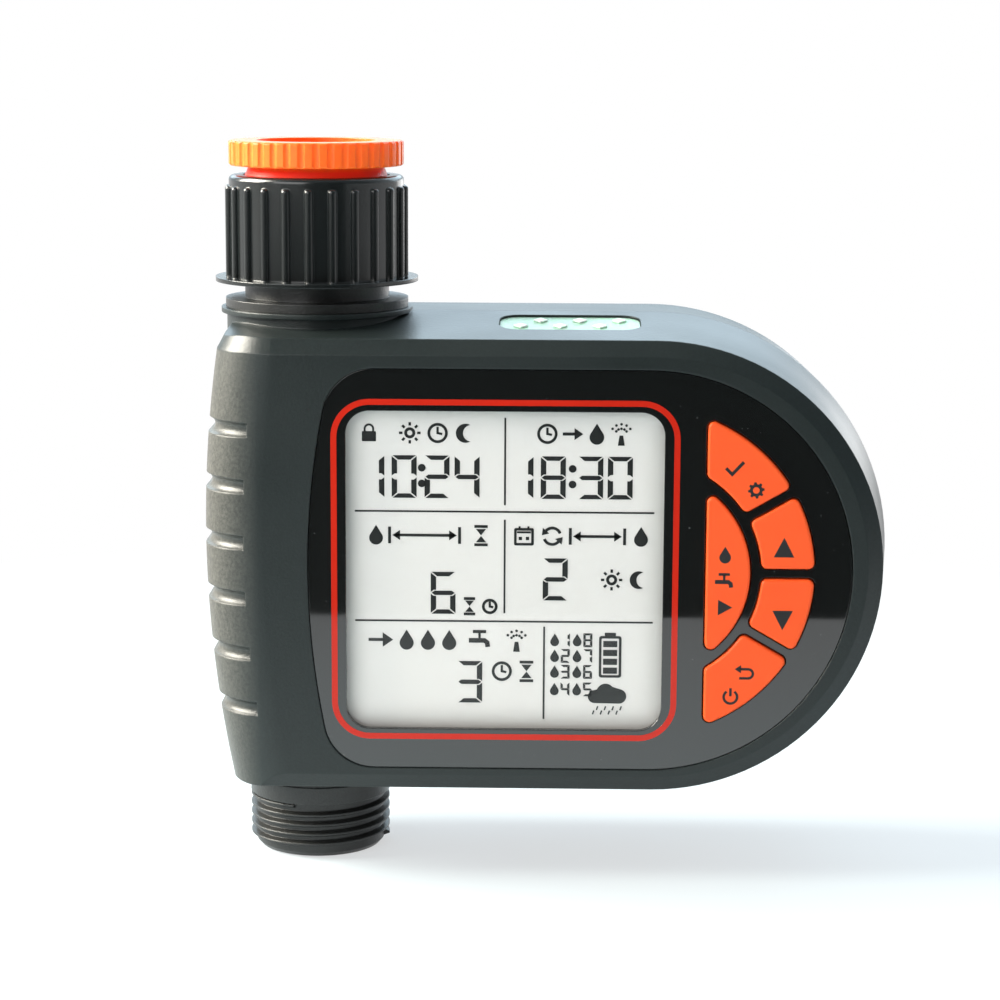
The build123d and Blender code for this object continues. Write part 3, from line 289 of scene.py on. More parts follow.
def displayFinish(name, look):
    # pale liquid crystal cell: brightest in the middle, with painted shade towards the window's edge; its
    # glow is painted light
    finish, tree, shader = newFinish(name)
    place = objectPlace(tree)
    axes = addNode(tree, "ShaderNodeSeparateXYZ", None, Vector=place)
    sides = []
    for axis, middle, half in zip(("X", "Z"), look["middle"], look["half"]):
        offset = mathOf(tree, "ABSOLUTE", mathOf(tree, "SUBTRACT", axes.outputs[axis], middle * mm))
        sides.append(spread(tree, offset, (half - look["shade"]) * mm, half * mm, 0, 1))
    shade = mathOf(tree, "SMOOTH_MAX", sides[0], sides[1], 0.3)
    shade = mathOf(tree, "POWER", mathOf(tree, "MAXIMUM", shade, 0.0), 1.6)
    cells = noiseOf(tree, place, 0.0004, 1)
    colour = mixColour(tree, shade, look["colour"] + (1,), look["windowShadeColour"] + (1,))
    colour = mixColour(tree, toned(tree, cells, 0, 0.12), colour, tinted(look["colour"], 0.9))
    tree.links.new(colour, shader.inputs["Base Color"])
    tree.links.new(colour, shader.inputs["Emission Color"])
    tree.links.new(toned(tree, cells, 0.45, 0.6), shader.inputs["Roughness"])
    tree.links.new(bumpOf(tree, cells, 0.000004), shader.inputs["Normal"])
    # painted light: the cell glows a little, though it is no lamp
    setSockets(shader, Emission_Strength=look["glow"])
    return finish


def rainWindowFinish(name, look):
    # frosted window whose raised studs are whiter than its field
    finish, tree, shader = newFinish(name)
    place = objectPlace(tree)
    slope = math.radians(look["slope"])
    along = addNode(tree, "ShaderNodeVectorMath", {"operation": "DOT_PRODUCT"}, i0=place,
                    i1=(0, -math.sin(slope), math.cos(slope)))
    raised = spread(tree, along.outputs["Value"], look["studFoot"] * mm, look["studTop"] * mm, 0, 1)
    frost = noiseOf(tree, place, 0.0005, 2)
    field = mixColour(tree, toned(tree, frost, 0, 0.4), look["field"] + (1,), tinted(look["field"], 0.8))
    tree.links.new(mixColour(tree, raised, field, look["stud"] + (1,)), shader.inputs["Base Color"])
    tree.links.new(toned(tree, frost, 0.3, 0.45), shader.inputs["Roughness"])
    tree.links.new(bumpOf(tree, frost, 0.00001, roundedNormal(tree, 0.00025)), shader.inputs["Normal"])
    setSockets(shader, Subsurface_Weight=0.5, Subsurface_Radius=(0.6, 1.0, 0.7), Subsurface_Scale=0.0015,
               Specular_IOR_Level=0.25)
    return finish


def cellFinish(name, look):
    # shrink-wrapped battery cell with two bands, and steel at its ends
    finish, tree, shader = newFinish(name)
    place = objectPlace(tree)
    along = addNode(tree, "ShaderNodeSeparateXYZ", None, Vector=place).outputs["X"]
    middle = mathOf(tree, "ABSOLUTE", mathOf(tree, "SUBTRACT", along, look["middle"] * mm))
    cap = spread(tree, middle, look["wrapHalf"] * mm, (look["wrapHalf"] + 0.15) * mm, 0, 1)
    bandStart = spread(tree, middle, 0.0135, 0.0136, 0, 1)
    bandEnd = spread(tree, middle, 0.0175, 0.0176, 1, 0)
    band = mathOf(tree, "MULTIPLY", bandStart, bandEnd)
    film = noiseOf(tree, place, 0.002, 3)
    colour = mixColour(tree, band, look["wrap"] + (1,), look["band"] + (1,))
    colour = mixColour(tree, toned(tree, film, 0, 0.3), colour, tinted(look["wrap"], 1.4))
    colour = mixColour(tree, cap, colour, grey(0.62))
    tree.links.new(colour, shader.inputs["Base Color"])
    tree.links.new(cap, shader.inputs["Metallic"])
    tree.links.new(toned(tree, film, 0.2, 0.34), shader.inputs["Roughness"])
    tree.links.new(bumpOf(tree, film, 0.00002, roundedNormal(tree, 0.0003)), shader.inputs["Normal"])
    return finish


caseLook = {"colour": (0.0105, 0.0150, 0.0148), "drift": 0.08, "grainSize": 0.0005, "grainDepth": 0.000032,
            "rough": (0.32, 0.42), "edge": 0.0004, "edgeWearAndHighlight": 0.5, "edgeWearAndHighlightGain": 2.4, "speckle": 0.35,
            "speckleGain": 1.5,
            # the grip colour is painted light from the side
            "gripPaintedLightColour": (0.060, 0.058, 0.050), "gripEdge": (-8.5, -17.5), "gripTop": -36.0,
            "gripFade": 0.6, "gripGrain": 0.0006,
            "sockets": {"Specular_IOR_Level": 0.42}}
bodyLook = {"colour": (0.012, 0.0125, 0.012), "drift": 0.12, "grainSize": 0.00045, "grainDepth": 0.00005,
            "rough": (0.28, 0.42), "edge": 0.0003, "edgeWearAndHighlight": 0.7, "edgeWearAndHighlightGain": 3.0, "speckle": 0.5,
            "speckleGain": 1.6}
nutLook = {"colour": (0.008, 0.0094, 0.0094), "drift": 0.1, "grainSize": 0.0008, "grainDepth": 0.000004,
           "rough": (0.14, 0.22), "edge": 0.0003, "edgeWearAndHighlight": 0.8, "edgeWearAndHighlightGain": 6.0, "speckle": 0.2,
           "sockets": {"Specular_IOR_Level": 0.6}}
adapterLook = {"colour": (1.0, 0.125, 0.010), "drift": 0.05, "grainSize": 0.0007, "grainDepth": 0.000006,
               "rough": (0.28, 0.38), "edge": 0.0003, "edgeWearAndHighlight": 0.4, "edgeWearAndHighlightGain": 1.3, "speckle": 0.15,
               # below the ring the colour turns redder: painted shade
               "paintedShadeBelow": (-4.6, -5.4), "paintedShadeColour": (1.0, 0.035, 0.012),
               "sockets": {"Subsurface_Weight": 0.45, "Subsurface_Radius": (1.0, 0.35, 0.1),
                           "Subsurface_Scale": 0.002, "Specular_IOR_Level": 0.3}}
keyLook = {"colour": (0.76, 0.080, 0.013), "drift": 0.04, "grainSize": 0.0003, "grainDepth": 0.000008,
           "rough": (0.36, 0.46), "edge": 0.0003, "edgeWearAndHighlight": 0.5, "edgeWearAndHighlightGain": 1.25, "speckle": 0.2,
           "speckleGain": 1.1,
           "sockets": {"Subsurface_Weight": 0.15, "Subsurface_Radius": (1.0, 0.3, 0.1),
                       "Subsurface_Scale": 0.0008, "Specular_IOR_Level": 0.22}}
whiteLook = {"colour": (0.8, 0.8, 0.78), "drift": 0.04, "grainSize": 0.0005, "grainDepth": 0.00001,
             "rough": (0.4, 0.5), "edge": 0.0002, "speckleGain": 0.92}
blackPartLook = {"colour": (0.02, 0.02, 0.021), "drift": 0.15, "grainSize": 0.00025, "grainDepth": 0.00001,
                 "rough": (0.4, 0.55), "edge": 0.0001, "edgeWearAndHighlightGain": 2.5}
rubberLook = {"colour": (0.018, 0.018, 0.019), "drift": 0.2, "grainSize": 0.0006, "grainDepth": 0.00002,
              "rough": (0.6, 0.78), "edge": 0.0002, "edgeWearAndHighlightGain": 2.2, "speckle": 0.4, "speckleGain": 1.8}
filterLook = dict(whiteLook, colour=(0.72, 0.74, 0.72))
seatLook = dict(whiteLook, colour=(0.86, 0.86, 0.84), rough=(0.3, 0.4))
ballLook = dict(whiteLook, colour=(0.82, 0.82, 0.79), rough=(0.12, 0.2), grainDepth=0.000003)
gearLook = dict(whiteLook, colour=(0.84, 0.82, 0.76), rough=(0.3, 0.42))
retainerLook = dict(bodyLook, colour=(0.045, 0.046, 0.05))
wireLook = {"colour": (0.5, 0.03, 0.025), "drift": 0.08, "grainSize": 0.0007, "grainDepth": 0.00001,
            "rough": (0.35, 0.45), "edge": 0.0001}
ledLook = {"colour": (0.25, 0.10, 0.30), "drift": 0.1, "grainSize": 0.0008, "grainDepth": 0.000002,
           "rough": (0.05, 0.1), "edge": 0.0002, "sockets": {"Transmission_Weight": 0.4, "Coat_Weight": 0.5}}
inkLook = {"colour": (0.006, 0.006, 0.007), "drift": 0.2, "grainSize": 0.0004, "grainDepth": 0.000002,
           "rough": (0.45, 0.6), "edge": 0.00003, "edgeWearAndHighlight": 0.0}
redLineLook = {"colour": (0.44, 0.016, 0.007), "drift": 0.05, "grainSize": 0.0004, "grainDepth": 0.000001,
               "rough": (0.05, 0.09), "edge": 0.00003, "edgeWearAndHighlight": 0.0, "speckle": 0.1,
               "sockets": {"Specular_IOR_Level": 0.3}}
# painted shade at the window's edge, and a painted glow
cellLook = {"middle": (34.8, -74.6), "half": (28.2, 28.8), "shade": 5.0, "colour": (0.72, 0.635, 0.63),
            "windowShadeColour": (0.53, 0.48, 0.47), "glow": 0.05}
boardLook = {"cell": 0.0021, "mask": (0.02, 0.16, 0.06), "copper": (0.05, 0.26, 0.10)}
steelLook = {"colour": (0.60, 0.60, 0.62), "grainSize": 0.0003, "grainDepth": 0.000004,
             "rough": (0.22, 0.38)}
rainLook = {"slope": 7.682, "studFoot": -30.5, "studTop": -30.35, "field": (0.36, 0.58, 0.44),
            "stud": (0.86, 0.90, 0.88)}

finishes = {
    "case_plastic": plasticFinish("casePlastic", caseLook),
    "body_plastic": plasticFinish("bodyPlastic", bodyLook),
    "nut_plastic": plasticFinish("nutPlastic", nutLook),
    "adapter_plastic": plasticFinish("adapterPlastic", adapterLook),
    "key_plastic": plasticFinish("keyPlastic", keyLook),
    "white_plastic": plasticFinish("whitePlastic", whiteLook),
    "component_black": plasticFinish("blackComponent", blackPartLook),
    "rubber": plasticFinish("blackRubber", rubberLook),
    "filter_plastic": plasticFinish("filterPlastic", filterLook),
    "seat_plastic": plasticFinish("seatPlastic", seatLook),
    "ball_plastic": plasticFinish("ballPlastic", ballLook),
    "gear_plastic": plasticFinish("gearPlastic", gearLook),
    "retainer_plastic": plasticFinish("retainerPlastic", retainerLook),
    "wire": plasticFinish("wireSleeve", wireLook),
    "led_clear": plasticFinish("ledEpoxy", ledLook),
    "panel_gloss": panelFinish("panelAcrylic", {"colour": (0.0035, 0.0042, 0.0042), "rough": (0.015, 0.05),
                                                "edge": 0.0002, "ior": 1.85}),
    "clear_lens": clearFinish("clearLens", {"tint": (0.97, 0.985, 0.975), "rough": (0.01, 0.04), "ior": 1.45,
                                            "wave": 0.000002}),
    "display_glass": displayFinish("displayCell", cellLook),
    "board": boardFinish("solderMask", boardLook),
    "steel": metalFinish("plainSteel", steelLook),
    "spring_ring": metalFinish("springSteel", {"colour": (0.62, 0.62, 0.60), "grainSize": 0.0003,
                                               "grainDepth": 0.000004, "rough": (0.15, 0.28)}),
    "brass": metalFinish("turnedBrass", {"colour": (0.75, 0.56, 0.25), "grainSize": 0.0003,
                                         "grainDepth": 0.000004, "rough": (0.2, 0.34), "brush": (6, 1, 1)}),
    "battery": cellFinish("wrappedCell", {"middle": 63.2, "wrapHalf": 21.3, "wrap": (0.03, 0.09, 0.22),
                                          "band": (0.72, 0.74, 0.76)}),
}
finishByNode = {"rain_window": rainWindowFinish("rainWindowPlastic", rainLook)}
inkFinish = plasticFinish("printedInk", inkLook)
redLineFinish = plasticFinish("redLinePrint", redLineLook)

for name, part in nodes.items():
    for materialSlot in part.material_slots:
        slotName = materialSlot.material.name
        materialSlot.link = "OBJECT"
        materialSlot.material = finishByNode.get(name, finishes[slotName])
print("finishes assigned")


# flat marks: outlines in millimetres as (x, z), made into thin slabs that face the display side

def slab(bm, outline, faceY, thick):
    front = [bm.verts.new((x * mm, (faceY - thick) * mm, z * mm)) for x, z in outline]
    back = [bm.verts.new((x * mm, faceY * mm, z * mm)) for x, z in outline]
    bm.faces.new(front)
    bm.faces.new(back[::-1])
    count = len(outline)
    for step in range(count):
        after = (step + 1) % count
        bm.faces.new((front[step], back[step], back[after], front[after]))


def band(bm, outer, inner, faceY, thick):
    # a closed loop between two outlines with the same number of points
    rows = []
    for outline, depth in ((outer, thick), (inner, thick), (inner, 0), (outer, 0)):
        rows.append([bm.verts.new((x * mm, (faceY - depth) * mm, z * mm)) for x, z in outline])
    count = len(outer)
    for row in range(4):
        first, second = rows[row], rows[(row + 1) % 4]
        for step in range(count):
            after = (step + 1) % count
            bm.faces.new((first[step], first[after], second[after], second[step]))


def arcPoints(x, z, radius, start, end, steps):
    angles = [math.radians(start + (end - start) * step / steps) for step in range(steps + 1)]
    return [(x + radius * math.cos(angle), z + radius * math.sin(angle)) for angle in angles]


def discPoints(x, z, radius, steps=28):
    return arcPoints(x, z, radius, 0, 360, steps)[:-1]


def roundedBox(x, z, halfWidth, halfHeight, radius, steps=10):
    points = []
    for cornerX, cornerZ, start in ((1, 1, 0), (-1, 1, 90), (-1, -1, 180), (1, -1, 270)):
        points += arcPoints(x + cornerX * (halfWidth - radius), z + cornerZ * (halfHeight - radius), radius,
                            start, start + 90, steps)
    return points


def strokePoints(line, width):
    # the outline of a line of even width through the given points
    left, right = [], []
    for index, point in enumerate(line):
        before = Vector(line[max(index - 1, 0)])
        after = Vector(line[min(index + 1, len(line) - 1)])
        inward = (Vector(point) - before).normalized() if index else (after - Vector(point)).normalized()
        outward = (after - Vector(point)).normalized() if index < len(line) - 1 else inward
        middle = (inward + outward).normalized()
        side = Vector((-middle.y, middle.x)) * (width / 2 / max(0.5, middle.dot(inward)))
        left.append(tuple(Vector(point) + side))
        right.append(tuple(Vector(point) - side))
    return left + right[::-1]


def finishMesh(name, bm, material, body):
    bmesh.ops.recalc_face_normals(bm, faces=bm.faces)
    mesh = bpy.data.meshes.new(name)
    bm.to_mesh(mesh)
    bm.free()
    mesh.materials.append(material)
    piece = bpy.data.objects.new(name, mesh)
    scene.collection.objects.link(piece)
    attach(piece, body)


# seven-segment digits with slanted ends

segmentsOf = {"0": "abcdef", "1": "bc", "2": "abged", "3": "abgcd", "4": "fgbc", "5": "afgcd", "6": "afgedc",
              "7": "abc", "8": "abcdefg"}


def digitOutlines(figure, x, z, width, height, upright, flat, gap):
    # x, z is the lower left corner
    mid, top = z + height / 2, z + height
    right = x + width
    lean = upright * 0.55
    shapes = {
        "a": [(x + gap, top), (right - gap, top), (right - gap - upright, top - flat),
              (x + gap + upright, top - flat)],
        "d": [(x + gap, z), (right - gap, z), (right - gap - upright, z + flat),
              (x + gap + upright, z + flat)],
        "g": [(x + gap, mid), (x + gap + lean, mid + flat / 2), (right - gap - lean, mid + flat / 2),
              (right - gap, mid), (right - gap - lean, mid - flat / 2), (x + gap + lean, mid - flat / 2)],
        "f": [(x, top - gap), (x, mid + gap), (x + lean, mid + gap + flat / 2),
              (x + upright, mid + gap + flat / 2), (x + upright, top - gap - flat)],
        "e": [(x, z + gap), (x, mid - gap), (x + lean, mid - gap - flat / 2),
              (x + upright, mid - gap - flat / 2), (x + upright, z + gap + flat)],
        "b": [(right, top - gap), (right, mid + gap), (right - lean, mid + gap + flat / 2),
              (right - upright, mid + gap + flat / 2), (right - upright, top - gap - flat)],
        "c": [(right, z + gap), (right, mid - gap), (right - lean, mid - gap - flat / 2),
              (right - upright, mid - gap - flat / 2), (right - upright, z + gap + flat)],
    }
    return [shapes[segment] for segment in segmentsOf[figure]]


# small pictures for the display and the keys; each takes its middle and its size

def clockMark(x, z, size):
    ringOuter, ringInner = discPoints(x, z, size), discPoints(x, z, size - 0.5)
    hand = strokePoints([(x, z + size * 0.62), (x, z), (x + size * 0.45, z - size * 0.1)], 0.42)
    return [(ringOuter, ringInner), hand]


def sunMark(x, z, size):
    shapes = [(discPoints(x, z, size * 0.52), discPoints(x, z, size * 0.24))]
    for ray in range(8):
        angle = math.radians(45 * ray)
        low, high = size * 0.68, size
        shapes.append(strokePoints([(x + low * math.cos(angle), z + low * math.sin(angle)),
                                    (x + high * math.cos(angle), z + high * math.sin(angle))], 0.44))
    return shapes


def moonMark(x, z, size):
    outer = arcPoints(x, z, size, 60, 300, 20)
    inner = arcPoints(x + size * 0.62, z, size * 0.873, 262, 98, 16)
    return [outer + inner]


def dropMark(x, z, size):
    return [[(x, z + size)] + arcPoints(x, z - size * 0.3, size * 0.68, -210, 30, 18)[::-1]]


def arrowMark(x, z, size):
    return [strokePoints([(x - size, z), (x + size * 0.3, z)], 0.55),
            [(x + size, z), (x + size * 0.15, z + size * 0.6), (x + size * 0.15, z - size * 0.6)]]


def spanMark(x, z, half, size):
    # a length between two end bars
    shapes = [strokePoints([(x - half + size * 0.6, z), (x + half - size * 0.6, z)], 0.5)]
    for side in (-1, 1):
        tip = x + side * (half - 0.5)
        foot = tip - side * size * 0.9
        shapes.append([(tip, z), (foot, z + size * 0.6), (foot, z - size * 0.6)])
        shapes.append(strokePoints([(x + side * half, z - size), (x + side * half, z + size)], 0.52))
    return shapes


def hourglassMark(x, z, size):
    half = size * 0.72
    return [strokePoints([(x - half, z + size), (x + half, z + size)], 0.5),
            strokePoints([(x - half, z - size), (x + half, z - size)], 0.5),
            [(x - half * 0.75, z + size * 0.72), (x + half * 0.75, z + size * 0.72), (x, z + 0.04)],
            [(x - half * 0.75, z - size * 0.72), (x, z - 0.04), (x + half * 0.75, z - size * 0.72)]]


def repeatMark(x, z, size):
    shapes = []
    for start in (20, 200):
        shapes.append(strokePoints(arcPoints(x, z, size * 0.82, start, start + 118, 12), 0.52))
        angle = math.radians(start + 118)
        tipX, tipZ = x + size * 0.82 * math.cos(angle), z + size * 0.82 * math.sin(angle)
        alongX, alongZ = -math.sin(angle), math.cos(angle)
        outX, outZ = math.cos(angle), math.sin(angle)
        reach, wide = size * 0.62, size * 0.42
        shapes.append([(tipX + alongX * reach, tipZ + alongZ * reach),
                       (tipX - outX * wide, tipZ - outZ * wide),
                       (tipX + outX * wide, tipZ + outZ * wide)])
    return shapes


def calendarMark(x, z, size):
    shapes = [(roundedBox(x, z - size * 0.08, size, size * 0.9, 0.3, 3),
               roundedBox(x, z - size * 0.08, size - 0.46, size * 0.9 - 0.46, 0.1, 3)),
              strokePoints([(x - size * 0.7, z + size * 0.38), (x + size * 0.7, z + size * 0.38)], 0.36)]
    for side in (-0.45, 0.45):
        shapes.append(strokePoints([(x + side * size, z + size * 0.7), (x + side * size, z + size)], 0.36))
        shapes.append(roundedBox(x + side * size * 0.8, z - size * 0.25, size * 0.17, size * 0.17, 0.05, 2))
    return shapes


def sprayMark(x, z, size):
    # a small nozzle with three arcs of drops
    shapes = [[(x - size * 0.3, z - size), (x + size * 0.3, z - size), (x + size * 0.16, z - size * 0.1),
               (x - size * 0.16, z - size * 0.1)]]
    for angle in (35, 62, 90, 118, 145):
        for reach in (0.55, 0.95):
            shapes.append(discPoints(x + size * reach * math.cos(math.radians(angle)),
                                     z - size * 0.05 + size * reach * math.sin(math.radians(angle)), 0.25, 8))
    return shapes


def tapMark(x, z, size):
    return [roundedBox(x, z + size * 0.85, size * 0.62, size * 0.15, 0.1, 3),
            strokePoints([(x, z + size * 0.8), (x, z + size * 0.2)], 0.42),
            strokePoints([(x - size, z), (x + size * 0.45, z), (x + size * 0.72, z - size * 0.2),
                          (x + size * 0.78, z - size * 0.62)], size * 0.44)]


def lockMark(x, z, halfWidth, height):
    body = height * 0.58
    low = z - height / 2
    return [roundedBox(x, low + body / 2, halfWidth, body / 2, 0.15, 3),
            strokePoints([(x - halfWidth * 0.6, low + body)] +
                         arcPoints(x, low + body + height * 0.14, halfWidth * 0.6, 180, 0, 10) +
                         [(x + halfWidth * 0.6, low + body)], 0.36)]


def batteryMark(x, z, halfWidth, halfHeight):
    shapes = [(roundedBox(x, z, halfWidth, halfHeight, 0.45, 4),
               roundedBox(x, z, halfWidth - 0.45, halfHeight - 0.45, 0.2, 4)),
              roundedBox(x, z + halfHeight + 0.3, halfWidth * 0.5, 0.3, 0.1, 3)]
    for step in range(4):
        shapes.append(roundedBox(x, z - halfHeight + 1.28 + step * 1.62, halfWidth - 0.75, 0.56, 0.08, 2))
    return shapes


def cloudMark(x, z, halfWidth):
    outline = (arcPoints(x - halfWidth * 0.66, z, halfWidth * 0.34, 270, 95, 10) +
               arcPoints(x - halfWidth * 0.1, z + halfWidth * 0.22, halfWidth * 0.46, 160, 40, 12) +
               arcPoints(x + halfWidth * 0.58, z + halfWidth * 0.02, halfWidth * 0.38, 80, -90, 12))
    shapes = [outline]
    for step in range(8):
        dropX = x - halfWidth * 0.72 + step * halfWidth * 0.2
        dropZ = z - halfWidth * (0.62 if step % 2 else 0.85)
        shapes.append(strokePoints([(dropX + 0.12, dropZ + 0.42), (dropX - 0.12, dropZ - 0.3)], 0.26))
    return shapes


def gearMark(x, z, size):
    outer, inner = [], []
    for step in range(48):
        angle = math.radians(7.5 * step)
        reach = size if (step % 6) in (0, 1, 2) else size * 0.76
        outer.append((x + reach * math.cos(angle), z + reach * math.sin(angle)))
        inner.append((x + size * 0.4 * math.cos(angle), z + size * 0.4 * math.sin(angle)))
    return [(outer, inner)]


def tickMark(x, z, size):
    line = [(x - size, z + size * 0.05), (x - size * 0.3, z - size * 0.65), (x + size, z + size * 0.75)]
    return [strokePoints(line, 0.55)]


def powerMark(x, z, size):
    return [strokePoints(arcPoints(x, z, size * 0.85, 125, 415, 24), 0.45),
            strokePoints([(x, z + size * 0.1), (x, z + size * 1.15)], 0.45)]


def returnMark(x, z, size):
    bend = arcPoints(x + size * 0.45, z - size * 0.1, size * 0.55, 90, -90, 10)
    line = [(x - size * 0.5, z + size * 0.45)] + bend + [(x - size * 0.6, z - size * 0.65)]
    foot = x - size * 0.4
    return [strokePoints(line, 0.45),
            [(x - size * 1.15, z + size * 0.45), (foot, z + size * 0.95), (foot, z - size * 0.05)]]


def drawShapes(bm, shapes, faceY, thick):
    for shape in shapes:
        if isinstance(shape, tuple):
            band(bm, shape[0], shape[1], faceY, thick)
        else:
            slab(bm, shape, faceY, thick)


# what the display shows

displayLook = {
    "faceY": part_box("lcd_glass")[0].y / mm - 0.02,
    "thick": 0.05,
    "digit": {"width": 4.4, "height": 7.6, "upright": 0.95, "flat": 0.78, "gap": 0.16},
    "smallDigit": {"width": 1.6, "height": 2.5, "upright": 0.42, "flat": 0.36, "gap": 0.04},
    "rule": 0.32,
    "figures": [(9.1, "1", -61.8), (14.8, "0", -61.8), (20.6, "2", -61.8), (25.9, "4", -61.8),
                (35.4, "1", -61.8), (41.1, "8", -61.8), (47.7, "3", -61.8), (52.9, "0", -61.8),
                (21.7, "6", -82.7), (41.6, "2", -80.1), (26.5, "3", -98.9)],
    "colonX": (20.1, 46.7),
    "colonZ": (-56.4, -59.2),
    "colonRadius": 0.68,
    "rules": [[(34.8, -47.4), (34.8, -63.0)], [(34.8, -65.6), (34.8, -82.5)], [(8.25, -64.2), (61.2, -64.2)],
              [(8.25, -84.0), (61.2, -84.0)], [(41.9, -84.9), (41.9, -101.8)]],
    "headZ": -50.2,
    "lowZ": -68.5,
    "nextZ": -87.5,
    "programZ": (-87.3, -90.2, -93.1, -96.3),
    "programX": (43.2, 47.2),
}


def drawDisplay(look):
    bm = bmesh.new()
    shapes = []
    for x, figure, z in look["figures"]:
        shapes += digitOutlines(figure, x, z, **look["digit"])
    for x in look["colonX"]:
        shapes += [discPoints(x, z, look["colonRadius"]) for z in look["colonZ"]]
    for line in look["rules"]:
        shapes.append(strokePoints(line, look["rule"]))
    headZ, lowZ, nextZ = look["headZ"], look["lowZ"], look["nextZ"]
    shapes += lockMark(10.8, headZ, 1.25, 3.1)
    shapes += sunMark(18.0, headZ, 1.9) + clockMark(22.9, headZ, 1.8) + moonMark(27.8, headZ, 1.7)
    shapes += clockMark(42.2, headZ, 1.8) + arrowMark(46.7, headZ, 1.8) + dropMark(50.9, headZ, 1.9)
    shapes += sprayMark(55.2, headZ, 2.0)
    shapes += dropMark(12.0, lowZ, 1.8) + spanMark(20.6, lowZ, 6.2, 1.5) + hourglassMark(30.6, lowZ, 1.65)
    shapes += calendarMark(38.2, lowZ, 1.75) + repeatMark(43.2, lowZ, 1.8) + spanMark(51.2, lowZ, 4.8, 1.5)
    shapes += dropMark(58.9, lowZ, 1.8)
    shapes += arrowMark(12.8, nextZ, 2.2) + dropMark(17.4, nextZ, 1.85) + dropMark(21.2, nextZ, 1.85)
    shapes += dropMark(25.0, nextZ, 1.85) + tapMark(30.4, nextZ, 1.9) + sprayMark(37.0, nextZ, 2.0)
    shapes += hourglassMark(28.6, -81.3, 1.4) + clockMark(32.2, -81.3, 1.4)
    shapes += sunMark(53.8, -76.3, 1.9) + moonMark(58.6, -76.3, 1.6)
    shapes += clockMark(34.4, -93.1, 1.8) + hourglassMark(38.8, -93.1, 1.7)
    for row, z in enumerate(look["programZ"]):
        for column, figure in zip(look["programX"], (str(row + 1), str(8 - row))):
            shapes.append(dropMark(column + 0.6, z, 1.15)[0])
            shapes += digitOutlines(figure, column + 1.7, z - 1.25, **look["smallDigit"])
    shapes += batteryMark(53.7, -90.3, 2.0, 3.8)
    shapes += cloudMark(53.3, -97.6, 3.5)
    drawShapes(bm, shapes, look["faceY"], look["thick"])
    finishMesh("displayMarks", bm, inkFinish, "case")


drawDisplay(displayLook)
print("display drawn")


# red line round the display, printed on the panel

lineLook = {"middle": (34.85, -74.5), "half": (30.65, 30.6), "radius": 6.8, "width": 1.05,
            "faceY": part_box("front_panel")[0].y / mm, "thick": 0.03}


def drawRedLine(look):
    bm = bmesh.new()
    x, z = look["middle"]
    halfWidth, halfHeight = look["half"]
    width = look["width"]
    outer = roundedBox(x, z, halfWidth, halfHeight, look["radius"], 14)
    inner = roundedBox(x, z, halfWidth - width, halfHeight - width, look["radius"] - width, 14)
    band(bm, outer, inner, look["faceY"], look["thick"])
    finishMesh("redLine", bm, redLineFinish, "case")


drawRedLine(lineLook)


# dark print on the orange keys

keyMarks = {
    "key_confirm": tickMark(75.0, -55.6, 1.55) + gearMark(78.8, -59.4, 1.45),
    "key_up": [[(83.9, -67.8), (82.1, -71.3), (85.7, -71.3)]],
    "key_down": [[(83.9, -84.4), (85.7, -80.9), (82.1, -80.9)]],
    "key_manual": dropMark(73.6, -71.0, 1.5) + tapMark(73.5, -75.8, 1.6) +
                  [[(72.5, -79.0), (72.5, -81.8), (75.0, -80.4)]],
    "key_cancel": returnMark(77.4, -92.2, 1.5) + powerMark(75.0, -96.6, 1.4),
}
for key, shapes in keyMarks.items():
    bm = bmesh.new()
    drawShapes(bm, shapes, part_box(key)[0].y / mm + 0.002, 0.022)
    finishMesh(key + "Print", bm, inkFinish, bodyOf[key])
print("line and key prints made")


# floor and studio

floorLook = {"height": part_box("valve_body")[0].z - 0.0003, "half": 4.0, "colour": (0.56, 0.68, 0.74),
             "lift": 0.60, "clearFrom": 0.10, "clearTo": 0.30, "middle": (0.03, 0.0)}


def makeFloor(look):
    bm = bmesh.new()
    bmesh.ops.create_grid(bm, x_segments=8, y_segments=8, size=look["half"])
    mesh = bpy.data.meshes.new("floor")
    bm.to_mesh(mesh)
    bm.free()
    floor = bpy.data.objects.new("floor", mesh)
    floor.location.z = look["height"]
    scene.collection.objects.link(floor)
    finish, tree, shader = newFinish("paperFloor")
    place = objectPlace(tree)
    fibre = noiseOf(tree, place, 0.0008, 3)
    tone = mixColour(tree, toned(tree, fibre, 0, 1), look["colour"] + (1,), tinted(look["colour"], 0.985))
    tree.links.new(tone, shader.inputs["Base Color"])
    setSockets(shader, Roughness=0.8, Specular_IOR_Level=0.1)
    # what the camera and mirrors see fades to plain white away from the object
    middle = addNode(tree, "ShaderNodeVectorMath", {"operation": "DISTANCE"}, i0=place,
                     i1=(look["middle"][0], look["middle"][1], 0))
    away = spread(tree, middle.outputs["Value"], look["clearFrom"], look["clearTo"], look["lift"], 1.0)
    path = addNode(tree, "ShaderNodeLightPath")
    seen = mathOf(tree, "MAXIMUM", path.outputs["Is Camera Ray"], mathOf(
        tree, "MAXIMUM", path.outputs["Is Glossy Ray"], path.outputs["Is Transmission Ray"]))
    glow = addNode(tree, "ShaderNodeEmission", None, Color=(1, 1, 1, 1), Strength=1.0)
    factor = mathOf(tree, "MULTIPLY", seen, away)
    mixed = addNode(tree, "ShaderNodeMixShader", None, i0=factor, i1=shader.outputs[0], i2=glow.outputs[0])
    tree.links.new(mixed.outputs[0], tree.nodes["Material Output"].inputs["Surface"])
    mesh.materials.append(finish)


makeFloor(floorLook)


